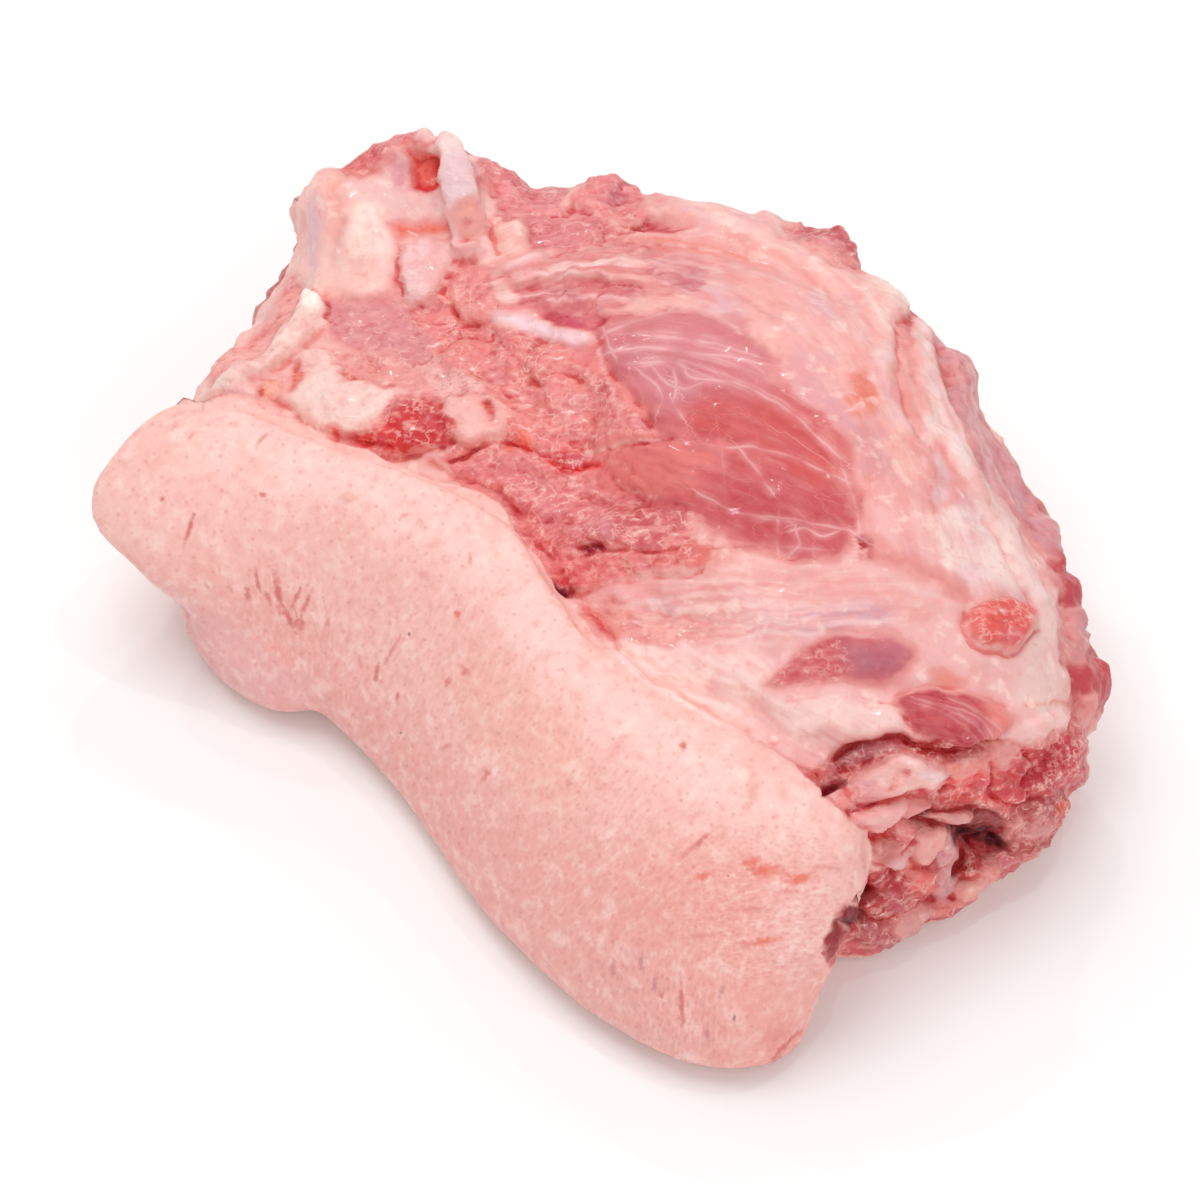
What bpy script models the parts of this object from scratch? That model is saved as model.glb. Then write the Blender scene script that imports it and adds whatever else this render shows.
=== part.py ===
"""A raw pork jowl, rind on: one thick, uneven slab of cheek lying rind side down.

X runs along the rind edge, +Y from the rind towards the far cut side, +Z up. The origin is on the
resting plane, at the middle of the slab's bounding box. Sizes below are millimetres and are scaled to metres
as each mesh is made. The slab is one solid: the muscle mass, the rind that curls up its front, and the rolls,
lobes and flaps of fat and lean on its cut sides are fused, and then creased and roughened.
"""

import math

import bmesh
import bpy
from mathutils import Euler, Vector, noise

MM = 0.001

# Overall size of the slab, which the finished mesh is trimmed to.
LENGTH = 264.0
WIDTH = 197.0
HEIGHT = 84.0

# The muscle mass as cross-sections along X. Each row is
# x, front y, valley (y, z), crest (y, z), far shoulder (y, z).
MASS_SECTIONS = [
    (-128, -2, (4, 44), (12, 58), (24, 53)),
    (-110, -48, (-30, 50), (10, 64), (42, 63)),
    (-88, -78, (-34, 56), (16, 63), (57, 64)),
    (-60, -78, (-30, 60), (24, 69), (77, 65)),
    (-30, -72, (-26, 62), (30, 78), (93, 64)),
    (0, -74, (-24, 62), (32, 86), (99, 64)),
    (30, -80, (-28, 62), (30, 89), (92, 62)),
    (60, -84, (-34, 62), (22, 87), (79, 56)),
    (90, -84, (-36, 62), (14, 79), (62, 49)),
    (112, -46, (-28, 58), (8, 69), (49, 44)),
    (125, -24, (-10, 48), (8, 56), (36, 40)),
]
FOOT_DEPTH = 5.0  # how far the mass reaches below the resting plane before it is sliced flat

# The rind, with the fat behind it, as profiles from end to end. Each row is its foot (x, y, z), its lip
# (x, y, z) and how far the fat reaches back from the foot.
RIND_PROFILES = [
    ((-103, -86, 44), (-107, -62, 52), 24),
    ((-97, -97, 40), (-96, -52, 58), 40),
    ((-70, -95, 33), (-66, -49, 63), 50),
    ((-43, -81, 12), (-44, -43, 67), 50),
    ((-18, -79, 6), (-20, -37, 69), 50),
    ((6, -83, 6), (0, -35, 70), 50),
    ((25, -89, 6), (22, -43, 69), 50),
    ((46, -95, 6), (44, -50, 67), 50),
    ((68, -98, 6), (68, -47, 66), 50),
    ((90, -98, 6), (90, -42, 64), 50),
    ((108, -94, 6), (108, -38, 60), 44),
    ((120, -87, 6), (117, -37, 54), 28),
    ((130, -76, 6), (123, -42, 44), 14),
]
RIND_FOOT_TUCK = 7.0  # how far the rind turns back under the slab at its foot
RIND_EDGE = 7.0  # how far the cut edge of the rind drops at its lip
FLAP_THICKNESS = 17.0  # of the free end of the rind and its fat, at the left

# Ellipsoid lobes: name, centre, radii, turn about Z in degrees.
LOBES = [
    ("corner_pad", (-106, 14, 41), (26, 25, 28), 10),
    ("corner_back", (-108, 31, 45), (20, 17, 25), 0),
    ("corner_peak", (-119, 12, 57), (13, 12, 14), 0),
    ("dewlap_fold", (-56, -75, 13), (26, 13, 17), -4),
    ("left_ledge", (-102, -26, 30), (12, 22, 19), 15),
    ("far_lump_left", (-68, 60, 55), (15, 13, 14), 0),
    ("far_lump_mid", (-16, 86, 55), (24, 11, 12), -10),
    ("gland_node", (102, 26, 56), (11, 9, 9), 0),
    ("right_flank", (107, 39, 28), (14, 17, 18), 30),
    ("low_lean_a", (110, -29, 9), (14, 12, 13), 20),
    ("low_lean_b", (116, -8, 9), (12, 13, 12), 0),
    ("low_lean_c", (123, 14, 13), (9, 14, 11), 0),
    ("fat_pad_under_fold", (104, -20, 41), (12, 15, 8), 0),
]

# Rolls of fat, lean or tendon: name, radius, points.
ROLLS = [
    ("upper_fat_fold", 8.5,
     [(84, -36, 56), (95, -30, 58), (105, -18, 59), (115, -6, 57), (121, 8, 53), (120, 22, 50)]),
    ("middle_lean_roll", 8.0,
     [(100, -34, 33), (109, -22, 35), (117, -7, 35), (123, 7, 32), (125, 20, 30), (119, 36, 31)]),
    ("lower_fat_roll", 7.0, [(106, -36, 21), (116, -23, 21), (123, -10, 19)]),
    ("right_rim", 7.0,
     [(117, 29, 30), (106, 44, 34), (93, 56, 40), (76, 68, 44), (56, 78, 49), (30, 86, 53)]),
    ("corner_strap", 5.0, [(-108, 38, 70), (-102, 40, 77), (-92, 32, 72), (-80, 25, 65), (-68, 20, 62)]),
    ("corner_crest", 8.0, [(-126, 13, 56), (-118, 26, 63), (-109, 38, 68), (-100, 43, 65), (-86, 49, 60)]),
    ("ledge_strip", 6.0, [(-107, -4, 53), (-99, -14, 55), (-95, -28, 55), (-96, -44, 53)]),
]

# Grooves cut between the folds of the right-hand cut side: name, radius, points.
GROOVES = [
    ("fold_recess", 3.6, [(98, -42, 44), (108, -31, 45), (117, -17, 46), (125, -2, 44), (129, 10, 43)]),
    ("lower_recess", 2.8, [(106, -44, 28), (115, -32, 28), (123, -18, 27), (130, -2, 25)]),
    ("deep_hole", 4.5, [(115, -6, 17), (124, -8, 17), (134, -10, 17)]),
]

# Creases pressed into, and ridges raised on, the upper face: name, width, depth (raised if negative) and
# (x, y) path.
CREASES = [
    ("rind_lip_crease", 4.5, 6.0, [(-84, -44), (-60, -42), (-38, -35), (-8, -28), (14, -34), (34, -41)]),
    ("shallow_lip_crease", 4.0, 4.0, [(34, -41), (60, -40), (88, -35), (106, -31), (118, -30)]),
    ("gland_cleft", 4.0, 4.5, [(-78, 2), (-60, 4), (-45, -2), (-28, -4), (-10, -8)]),
    ("cross_cleft", 3.5, 4.0, [(-36, -30), (-22, -23), (-4, -18), (16, -8)]),
    ("muscle_edge", 5.0, 3.0, [(-48, 12), (-24, 8), (-8, -4), (8, -16)]),
    ("far_cleft", 5.0, 3.5, [(-52, 52), (-34, 62), (-14, 70), (8, 74)]),
    ("fat_ridge", 7.0, -3.0, [(16, -20), (40, -20), (66, -14), (92, -4)]),
    ("streak_ridge", 6.0, -2.5, [(-66, 26), (-40, 36), (-14, 44)]),
]
CREASE_FLOOR = 38.0  # only the upper face above this height is creased

# Finish of the fused solid.
VOXEL = 2.4
SMOOTH_STEPS = 4
LUMP_SIZE, LUMP_DEPTH = 17.0, 1.7
CRAG_SIZE, CRAG_DEPTH = 7.5, 1.5
LAYER_SIZE, LAYER_DEPTH = 17.0, 1.3  # the layers of fat and lean that bulge on the upright cut sides
LAYER_LENGTH, LAYER_WANDER = 30.0, 7.0  # how soon, and how far in radians, a layer wanders up or down
RIND_LUMP_SHARE = 0.15  # the rind is far smoother than the cut faces
SOLID_TRIANGLES = 11400


def link(name, mesh, collection):
    made = bpy.data.objects.new(name, mesh)
    collection.objects.link(made)
    return made


def apply_modifiers(thing):
    """Bakes an object's modifiers into its own mesh."""
    graph = bpy.context.evaluated_depsgraph_get()
    mesh = bpy.data.meshes.new_from_object(thing.evaluated_get(graph))
    thing.modifiers.clear()
    thing.data = mesh


def loft_mesh(name, rings):
    """A closed body through rings of points, capped at both ends."""
    bm = bmesh.new()
    lines = [[bm.verts.new(Vector(point) * MM) for point in ring] for ring in rings]
    count = len(rings[0])
    for line, after in zip(lines, lines[1:]):
        for i in range(count):
            j = (i + 1) % count
            bm.faces.new((line[i], line[j], after[j], after[i]))
    bm.faces.new(list(reversed(lines[0])))
    bm.faces.new(lines[-1])
    bmesh.ops.recalc_face_normals(bm, faces=bm.faces)
    mesh = bpy.data.meshes.new(name)
    bm.to_mesh(mesh)
    bm.free()
    return mesh


def mass_ring(x, front, valley, crest, shoulder):
    """One cross-section of the muscle mass, from the front foot over the top to the far foot."""
    (valley_y, valley_z), (crest_y, crest_z), (far_y, far_z) = valley, crest, shoulder
    outline = [
        (front + 4, -FOOT_DEPTH),
        (front, 10),
        (front + 1, 0.55 * valley_z),
        (front + 10, 0.92 * valley_z),
        (valley_y - 9, valley_z + 2),
        (valley_y, valley_z),
        (0.5 * (valley_y + crest_y), 0.45 * valley_z + 0.55 * crest_z),
        (crest_y, crest_z),
        (0.5 * (crest_y + far_y), 0.55 * crest_z + 0.45 * far_z + 3),
        (far_y - 6, far_z + 4),
        (far_y + 1, 0.7 * far_z),
        (far_y, 0.3 * far_z),
        (far_y - 6, -FOOT_DEPTH),
        (0.5 * (front + far_y), -FOOT_DEPTH),
    ]
    return [(x, y, z) for y, z in outline]


def add_mass(collection):
    rings = [mass_ring(*row) for row in MASS_SECTIONS]
    mass = link("muscle_mass", loft_mesh("muscle_mass", rings), collection)
    rounding = mass.modifiers.new("rounding", "SUBSURF")
    rounding.levels = rounding.render_levels = 2
    apply_modifiers(mass)


def rind_ring(foot, lip, reach):
    """The rind at one station: from its tucked foot over to a near-level lip, then down through its fat."""
    foot, lip = Vector(foot), Vector(lip)
    floor = max(-FOOT_DEPTH, foot.z - FLAP_THICKNESS)
    back = foot.y + reach
    steps = 6
    points = [foot + Vector((0, RIND_FOOT_TUCK, -5))]
    for i in range(steps + 1):
        a = math.radians(90) * i / steps
        over = (1 - math.cos(a)) ** 0.9
        up = math.sin(a) ** 1.1
        x = foot.x + (lip.x - foot.x) * i / steps
        points.append(Vector((x, foot.y + (lip.y - foot.y) * over, foot.z + (lip.z - foot.z) * up)))
    points.append(lip + Vector((0, 2, -RIND_EDGE)))
    points.append(lip + Vector((0, 0.25 * reach, -2 * RIND_EDGE)))
    points.append(Vector((foot.x, back, 0.5 * (floor + lip.z - 2 * RIND_EDGE))))
    points.append(Vector((foot.x, back, floor)))
    return points


def add_rind(collection):
    rings = [rind_ring(*row) for row in RIND_PROFILES]
    rind = link("rind", loft_mesh("rind", rings), collection)
    rounding = rind.modifiers.new("rounding", "SUBSURF")
    rounding.levels = rounding.render_levels = 2
    apply_modifiers(rind)


def add_ellipsoid(name, centre, radii, turn, collection):
    bm = bmesh.new()
    bmesh.ops.create_icosphere(bm, subdivisions=3, radius=1.0)
    for vertex in bm.verts:
        vertex.co = Vector(c * r for c, r in zip(vertex.co, radii))
        vertex.co.rotate(Euler((0, 0, math.radians(turn))))
        vertex.co = (vertex.co + Vector(centre)) * MM
    mesh = bpy.data.meshes.new(name)
    bm.to_mesh(mesh)
    bm.free()
    return link(name, mesh, collection)


def add_roll(name, radius, points, collection):
    """A tapered, round-ended roll along a smooth path, as a welded mesh."""
    path = bpy.data.curves.new(name, "CURVE")
    path.dimensions = "3D"
    path.bevel_depth = radius * MM
    path.bevel_resolution = 3
    path.resolution_u = 6
    path.use_fill_caps = True
    spline = path.splines.new("NURBS")
    spline.points.add(len(points) - 1)
    for place, point in zip(spline.points, points):
        place.co = (*(Vector(point) * MM), 1.0)
    spline.points[0].radius = spline.points[-1].radius = 0.55
    spline.use_endpoint_u = True
    spline.order_u = 4
    guide = link(name + "_path", path, collection)
    graph = bpy.context.evaluated_depsgraph_get()
    mesh = bpy.data.meshes.new_from_object(guide.evaluated_get(graph))
    bpy.data.objects.remove(guide)
    bm = bmesh.new()
    bm.from_mesh(mesh)
    bmesh.ops.remove_doubles(bm, verts=bm.verts, dist=0.01 * MM)
    bmesh.ops.recalc_face_normals(bm, faces=bm.faces)
    bm.to_mesh(mesh)
    bm.free()
    link(name, mesh, collection)


def fuse(pieces, hollows, collection):
    """One solid from the collection of pieces, with the hollows cut out and the joins blended."""
    seed = pieces.objects[0]
    pieces.objects.unlink(seed)
    collection.objects.link(seed)
    seed.name = "jowl"
    for operation, others in (("UNION", pieces), ("DIFFERENCE", hollows)):
        join = seed.modifiers.new(operation.lower(), "BOOLEAN")
        join.operation = operation
        join.solver = "MANIFOLD"
        join.operand_type = "COLLECTION"
        join.collection = others
        apply_modifiers(seed)
    for other in list(pieces.objects) + list(hollows.objects):
        bpy.data.objects.remove(other)
    skin = seed.modifiers.new("one_skin", "REMESH")
    skin.mode = "VOXEL"
    skin.voxel_size = VOXEL * MM
    soften = seed.modifiers.new("soften", "SMOOTH")
    soften.factor = 0.5
    soften.iterations = SMOOTH_STEPS
    apply_modifiers(seed)
    return seed


def path_distance(x, y, path):
    """Distance in plan from a point to a polyline, fading out past its two ends."""
    best = 1e9
    for (ax, ay), (bx, by) in zip(path, path[1:]):
        dx, dy = bx - ax, by - ay
        t = max(0.0, min(1.0, ((x - ax) * dx + (y - ay) * dy) / (dx * dx + dy * dy)))
        best = min(best, math.hypot(x - ax - t * dx, y - ay - t * dy))
    return best


def crease_depth(x, y):
    total = 0.0
    for _name, width, depth, path in CREASES:
        gap = path_distance(x, y, path) / width
        if gap < 3:
            total += depth * math.exp(-gap * gap)
    return total


def rind_share(x, y):
    """1 on the smooth rind, 0 on the cut faces."""
    lip_y = interpolate(x, [(lip[0], lip[1]) for _foot, lip, _reach in RIND_PROFILES])
    return max(0.0, min(1.0, 0.5 + (lip_y - y) / 4.0))


def interpolate(x, pairs):
    if x <= pairs[0][0]:
        return pairs[0][1]
    for (x0, v0), (x1, v1) in zip(pairs, pairs[1:]):
        if x <= x1:
            return v0 + (v1 - v0) * (x - x0) / (x1 - x0)
    return pairs[-1][1]


def sculpt(slab):
    """Presses in the creases, raises the ridges, and roughens the cut faces more than the rind."""
    mesh = slab.data
    moves = []
    for vertex in mesh.vertices:
        x, y, z = vertex.co / MM
        normal = vertex.normal
        rind = rind_share(x, y)
        push = 0.0
        if z > CREASE_FLOOR and normal.z > 0:
            push -= crease_depth(x, y) * (1 - rind) * min(1.0, normal.z * 1.5)
        rough = 1 - (1 - RIND_LUMP_SHARE) * rind
        place = Vector((x, y, z))
        push += LUMP_DEPTH * rough * noise.noise(place / LUMP_SIZE)
        push += CRAG_DEPTH * rough * noise.noise(place / CRAG_SIZE + Vector((9.1, 3.7, 5.2)))
        wander = LAYER_WANDER * noise.noise(place / LAYER_LENGTH + Vector((2.3, 8.8, 4.1)))
        upright = (1 - abs(normal.z)) * (1 - rind)
        push += LAYER_DEPTH * upright * math.sin(math.tau * z / LAYER_SIZE + wander)
        moves.append(normal * push * MM)
    for vertex, move in zip(mesh.vertices, moves):
        vertex.co += move


def flatten_foot(slab):
    """Slices the underside flat and closes it, so that the slab lies on one face."""
    bm = bmesh.new()
    bm.from_mesh(slab.data)
    geometry = bm.verts[:] + bm.edges[:] + bm.faces[:]
    cut = bmesh.ops.bisect_plane(bm, geom=geometry, plane_co=(0, 0, 0), plane_no=(0, 0, 1), clear_inner=True)
    rim = [edge for edge in cut["geom_cut"] if isinstance(edge, bmesh.types.BMEdge)]
    bmesh.ops.holes_fill(bm, edges=rim, sides=0)
    bmesh.ops.triangulate(bm, faces=bm.faces)
    bm.to_mesh(slab.data)
    bm.free()


def thin_out(slab):
    """Brings the triangle count down to what the solid needs."""
    slab.data.calc_loop_triangles()
    thinner = slab.modifiers.new("thinner", "DECIMATE")
    thinner.ratio = SOLID_TRIANGLES / len(slab.data.loop_triangles)
    apply_modifiers(slab)


def settle(slab):
    """Puts the middle of the slab's base on the origin and trims it to its overall size."""
    corners = [Vector(vertex.co) for vertex in slab.data.vertices]
    low = Vector(min(c[i] for c in corners) for i in range(3))
    high = Vector(max(c[i] for c in corners) for i in range(3))
    middle = Vector(((low.x + high.x) / 2, (low.y + high.y) / 2, low.z))
    scale = [size * MM / (h - l) for size, l, h in zip((LENGTH, WIDTH, HEIGHT), low, high)]
    for vertex in slab.data.vertices:
        vertex.co = Vector(c * s for c, s in zip(vertex.co - middle, scale))


def flesh_material():
    material = bpy.data.materials.new("raw_pork")
    material.use_nodes = True
    surface = material.node_tree.nodes["Principled BSDF"]
    surface.inputs["Base Color"].default_value = (0.80, 0.42, 0.38, 1.0)
    surface.inputs["Roughness"].default_value = 0.42
    surface.inputs["Metallic"].default_value = 0.0
    return material


def new_collection(name, shown):
    made = bpy.data.collections.new(name)
    bpy.context.scene.collection.children.link(made)
    made.hide_render = not shown
    return made


def main():
    for old in list(bpy.data.objects):
        bpy.data.objects.remove(old)
    jowl = new_collection("pork_jowl", shown=True)
    pieces = new_collection("pieces", shown=False)
    hollows = new_collection("hollows", shown=False)
    add_mass(pieces)
    add_rind(pieces)
    for name, centre, radii, turn in LOBES:
        add_ellipsoid(name, centre, radii, turn, pieces)
    for name, radius, points in ROLLS:
        add_roll(name, radius, points, pieces)
    for name, radius, points in GROOVES:
        add_roll(name, radius, points, hollows)
    slab = fuse(pieces, hollows, jowl)
    sculpt(slab)
    flatten_foot(slab)
    thin_out(slab)
    settle(slab)
    slab.data.materials.clear()
    slab.data.materials.append(flesh_material())


main()
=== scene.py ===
"""Looks of the raw pork jowl: a fine skin over the CAD slab, its rind, fat and lean, and a plain studio.

The slab's features are drawn where they lie in a fixed drawing plane, seen from the front right and above.
Drawing coordinates run 1200 across and 1200 down, at about 4 to the millimetre. The camera looks the same way.
"""

import math

import bmesh
import bpy
import numpy as np
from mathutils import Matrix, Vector


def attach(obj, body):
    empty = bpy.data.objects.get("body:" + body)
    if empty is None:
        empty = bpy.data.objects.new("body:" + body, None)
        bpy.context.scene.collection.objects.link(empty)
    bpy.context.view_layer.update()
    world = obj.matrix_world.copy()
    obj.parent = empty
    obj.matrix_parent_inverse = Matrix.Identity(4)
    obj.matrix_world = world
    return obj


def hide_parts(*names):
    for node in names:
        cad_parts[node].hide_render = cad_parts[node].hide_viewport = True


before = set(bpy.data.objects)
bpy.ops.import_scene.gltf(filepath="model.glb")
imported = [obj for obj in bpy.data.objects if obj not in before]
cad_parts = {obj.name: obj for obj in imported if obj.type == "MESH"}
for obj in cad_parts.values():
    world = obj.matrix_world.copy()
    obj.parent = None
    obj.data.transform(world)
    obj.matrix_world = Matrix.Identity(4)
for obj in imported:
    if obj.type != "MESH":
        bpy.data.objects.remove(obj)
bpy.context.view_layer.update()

MM = 0.001

# The drawing plane and the camera.
AZIMUTH, ELEVATION = math.radians(45), math.radians(48)
LENS, SENSOR = 150.0, 36.0
DRAWING_SIZE = 1200
AIM = np.array((-10.0, 2.0, 0.0))
DISTANCE = 1287.4
TOWARDS = np.array(
    (math.sin(AZIMUTH) * math.cos(ELEVATION), -math.cos(AZIMUTH) * math.cos(ELEVATION), math.sin(ELEVATION))
)
ACROSS = np.array((math.cos(AZIMUTH), math.sin(AZIMUTH), 0.0))
UPWARDS = np.cross(TOWARDS, ACROSS)
EYE = AIM + TOWARDS * DISTANCE
PIXELS_PER_MM = 4.1

# The gloss lays a little white over every colour, so colours are painted this much deeper.
UNDER_GLOSS = np.array((1.0, 0.95, 0.95))

# The fine skin, in millimetres and rounds of smoothing.
WELD = 0.01
SKIN_VOXEL = 1.8
COARSE_SMOOTH, FINE_SMOOTH = 4, 2
FLAT_BELOW = 1.0
# It is divided once more where it faces the drawing by this much, stays clear of the rind by this many
# drawing units and lies higher than this.
DENSE_FACING, DENSE_RIND, DENSE_HEIGHT = 0.02, 4, 2

# Distances to outlines and paths are told up to this many drawing units.
FAR = 60
# Each octave of noise is this much finer than the one before it, and moved on by this much.
OCTAVE_SCALE, OCTAVE_SHIFT = 2.03, 11.7
NOISE_GAIN = 1.5


# ---------------------------------------------------------------- small maths
def project(points):
    """Points in millimetres to drawing coordinates."""
    d = points - EYE
    depth = -(d @ TOWARDS)
    focal = LENS / SENSOR * DRAWING_SIZE
    half = DRAWING_SIZE / 2
    return np.stack([half + focal * (d @ ACROSS) / depth, half - focal * (d @ UPWARDS) / depth], axis=1)


def hashed(ix, iy, iz, seed):
    """A number from -1 to 1 for each cell of a grid, always the same for the same cell and seed."""
    h = (ix * 374761393 + iy * 668265263 + iz * 1440662683 + seed * 1274126177) & 0xFFFFFFFF
    h = ((h ^ (h >> 13)) * 1103515245) & 0xFFFFFFFF
    return ((h ^ (h >> 16)) & 0xFFFF) / 32767.5 - 1.0


def noise3(points, size, seed, octaves=2):
    """Smooth value noise in about -1 to 1, for points in millimetres. size may be one number or three."""
    total = np.zeros(len(points))
    weight, reach = 1.0, 0.0
    p = points / np.asarray(size, dtype=float)
    for octave in range(octaves):
        cell = np.floor(p).astype(np.int64)
        f = p - cell
        f = f * f * f * (f * (f * 6 - 15) + 10)
        value = np.zeros(len(points))
        for dx in (0, 1):
            for dy in (0, 1):
                for dz in (0, 1):
                    corner = hashed(cell[:, 0] + dx, cell[:, 1] + dy, cell[:, 2] + dz, seed + 17 * octave)
                    wx = f[:, 0] if dx else 1 - f[:, 0]
                    wy = f[:, 1] if dy else 1 - f[:, 1]
                    wz = f[:, 2] if dz else 1 - f[:, 2]
                    value += corner * wx * wy * wz
        total += value * weight
        reach += weight
        weight *= 0.5
        p = p * OCTAVE_SCALE + OCTAVE_SHIFT
    return total / reach * NOISE_GAIN


def smoothstep(low, high, x):
    """0 up to low, 1 from high on and a smooth rise between them. High may be less than low."""
    t = np.clip((x - low) / (high - low), 0, 1)
    return t * t * (3 - 2 * t)


def mix(a, b, t):
    return a + (b - a) * t


def rgb(colour):
    """A colour as numbers that can be mixed."""
    return np.array(colour, dtype=float)


def linear(colour):
    """A colour in 0 to 255 display values as scene-linear numbers."""
    c = np.asarray(colour, dtype=float) / 255
    return np.where(c <= 0.04045, c / 12.92, ((c + 0.055) / 1.055) ** 2.4)


def inside(points, outline):
    """Signed distance, in drawing units, from points to a closed outline: positive inside."""
    ring = np.array(outline, dtype=float)
    low, high = ring.min(axis=0) - FAR, ring.max(axis=0) + FAR
    near = np.all((points > low) & (points < high), axis=1)
    out = np.full(len(points), -float(FAR))
    p = points[near]
    best = np.full(len(p), np.inf)
    odd = np.zeros(len(p), dtype=bool)
    for a, b in zip(ring, np.roll(ring, -1, axis=0)):
        d = b - a
        t = np.clip(((p - a) @ d) / max(d @ d, 1e-9), 0, 1)
        gap = np.linalg.norm(p - a - t[:, None] * d, axis=1)
        best = np.minimum(best, gap)
        crosses = (a[1] > p[:, 1]) != (b[1] > p[:, 1])
        with np.errstate(divide="ignore", invalid="ignore"):
            hit = p[:, 0] < (b[0] - a[0]) * (p[:, 1] - a[1]) / (b[1] - a[1]) + a[0]
        odd ^= crosses & hit
    out[near] = np.where(odd, best, -best)
    return out


def course(points, path):
    """Where points lie along an open path, and how far to its side, with a sign that tells the sides apart."""
    line = np.array(path, dtype=float)
    along, across = np.zeros(len(points)), np.full(len(points), np.inf)
    start = 0.0
    for a, b in zip(line, line[1:]):
        d = b - a
        length = np.linalg.norm(d)
        t = np.clip(((points - a) @ d) / max(length**2, 1e-9), 0, 1)
        away = points - a - t[:, None] * d
        gap = np.linalg.norm(away, axis=1)
        side = np.where(d[0] * away[:, 1] - d[1] * away[:, 0] < 0, -gap, gap)
        closer = gap < np.abs(across)
        along = np.where(closer, start + t * length, along)
        across = np.where(closer, side, across)
        start += length
    return along, across


def beside(points, path):
    """Distance, in drawing units, from points to an open path, with a sign that tells its two sides apart."""
    line = np.array(path, dtype=float)
    low, high = line.min(axis=0) - FAR, line.max(axis=0) + FAR
    near = np.all((points > low) & (points < high), axis=1)
    out = np.full(len(points), float(FAR))
    out[near] = np.clip(course(points[near], line)[1], -FAR, FAR)
    return out


def bends(p, steps):
    """Points on the smooth curve that runs through all of p but its first and last."""
    t = np.linspace(0, 1, steps, endpoint=False)[:, None]
    return np.vstack(
        [
            0.5 * (2 * b + (c - a) * t + (2 * a - 5 * b + 4 * c - d) * t**2 + (3 * b - a - 3 * c + d) * t**3)
            for a, b, c, d in zip(p, p[1:], p[2:], p[3:])
        ]
    )


def curved(path, steps=5):
    """A path's points with smooth bends drawn between them."""
    p = np.array(path, dtype=float)
    return np.vstack([bends(np.vstack([2 * p[0] - p[1], p, 2 * p[-1] - p[-2]]), steps), p[-1:]])


def rounded(outline, steps=3):
    """A closed outline's points with smooth bends drawn between them."""
    p = np.array(outline, dtype=float)
    return bends(np.vstack([p[-1:], p, p[:2]]), steps)


def drawn_out(line, reach):
    """A path made longer at both ends by straight pieces."""
    first, last = line[0] - line[1], line[-1] - line[-2]
    first, last = first / np.linalg.norm(first), last / np.linalg.norm(last)
    return np.vstack([line[0] + reach * first, line, line[-1] + reach * last])


# The ranges of a family's random draws: a path's place in its row, where it begins and ends as shares of its
# length, how far it sways in drawing units, and through what angle in radians. No path has fewer points.
ROW_PLACE, PATH_BEGIN, PATH_END, PATH_SWAY, SWAY_ANGLE = (0.1, 0.9), (0, 0.35), (0.6, 1.0), (-3, 3), (2, 7)
FEWEST_POINTS = 4
FAMILY_STEPS = 6


def family(first, last, count, seed):
    """Paths spread unevenly between two paths of as many points, each with its own beginning and end."""
    draw = np.random.default_rng(seed)
    first, last = curved(first, FAMILY_STEPS), curved(last, FAMILY_STEPS)
    for number in range(count):
        share = (number + draw.uniform(*ROW_PLACE)) / count
        begin, end = draw.uniform(*PATH_BEGIN), draw.uniform(*PATH_END)
        sideways = draw.uniform(*PATH_SWAY, 2)
        angles = np.linspace(0, draw.uniform(*SWAY_ANGLE), len(first))
        line = mix(first, last, share) + sideways * np.sin(angles)[:, None]
        yield line[int(begin * len(line)) : max(int(end * len(line)), FEWEST_POINTS)]


def by_name(*groups):
    """A value for each name, from groups of names that share one."""
    return {name: value for value, names in groups for name in names.split()}


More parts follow.
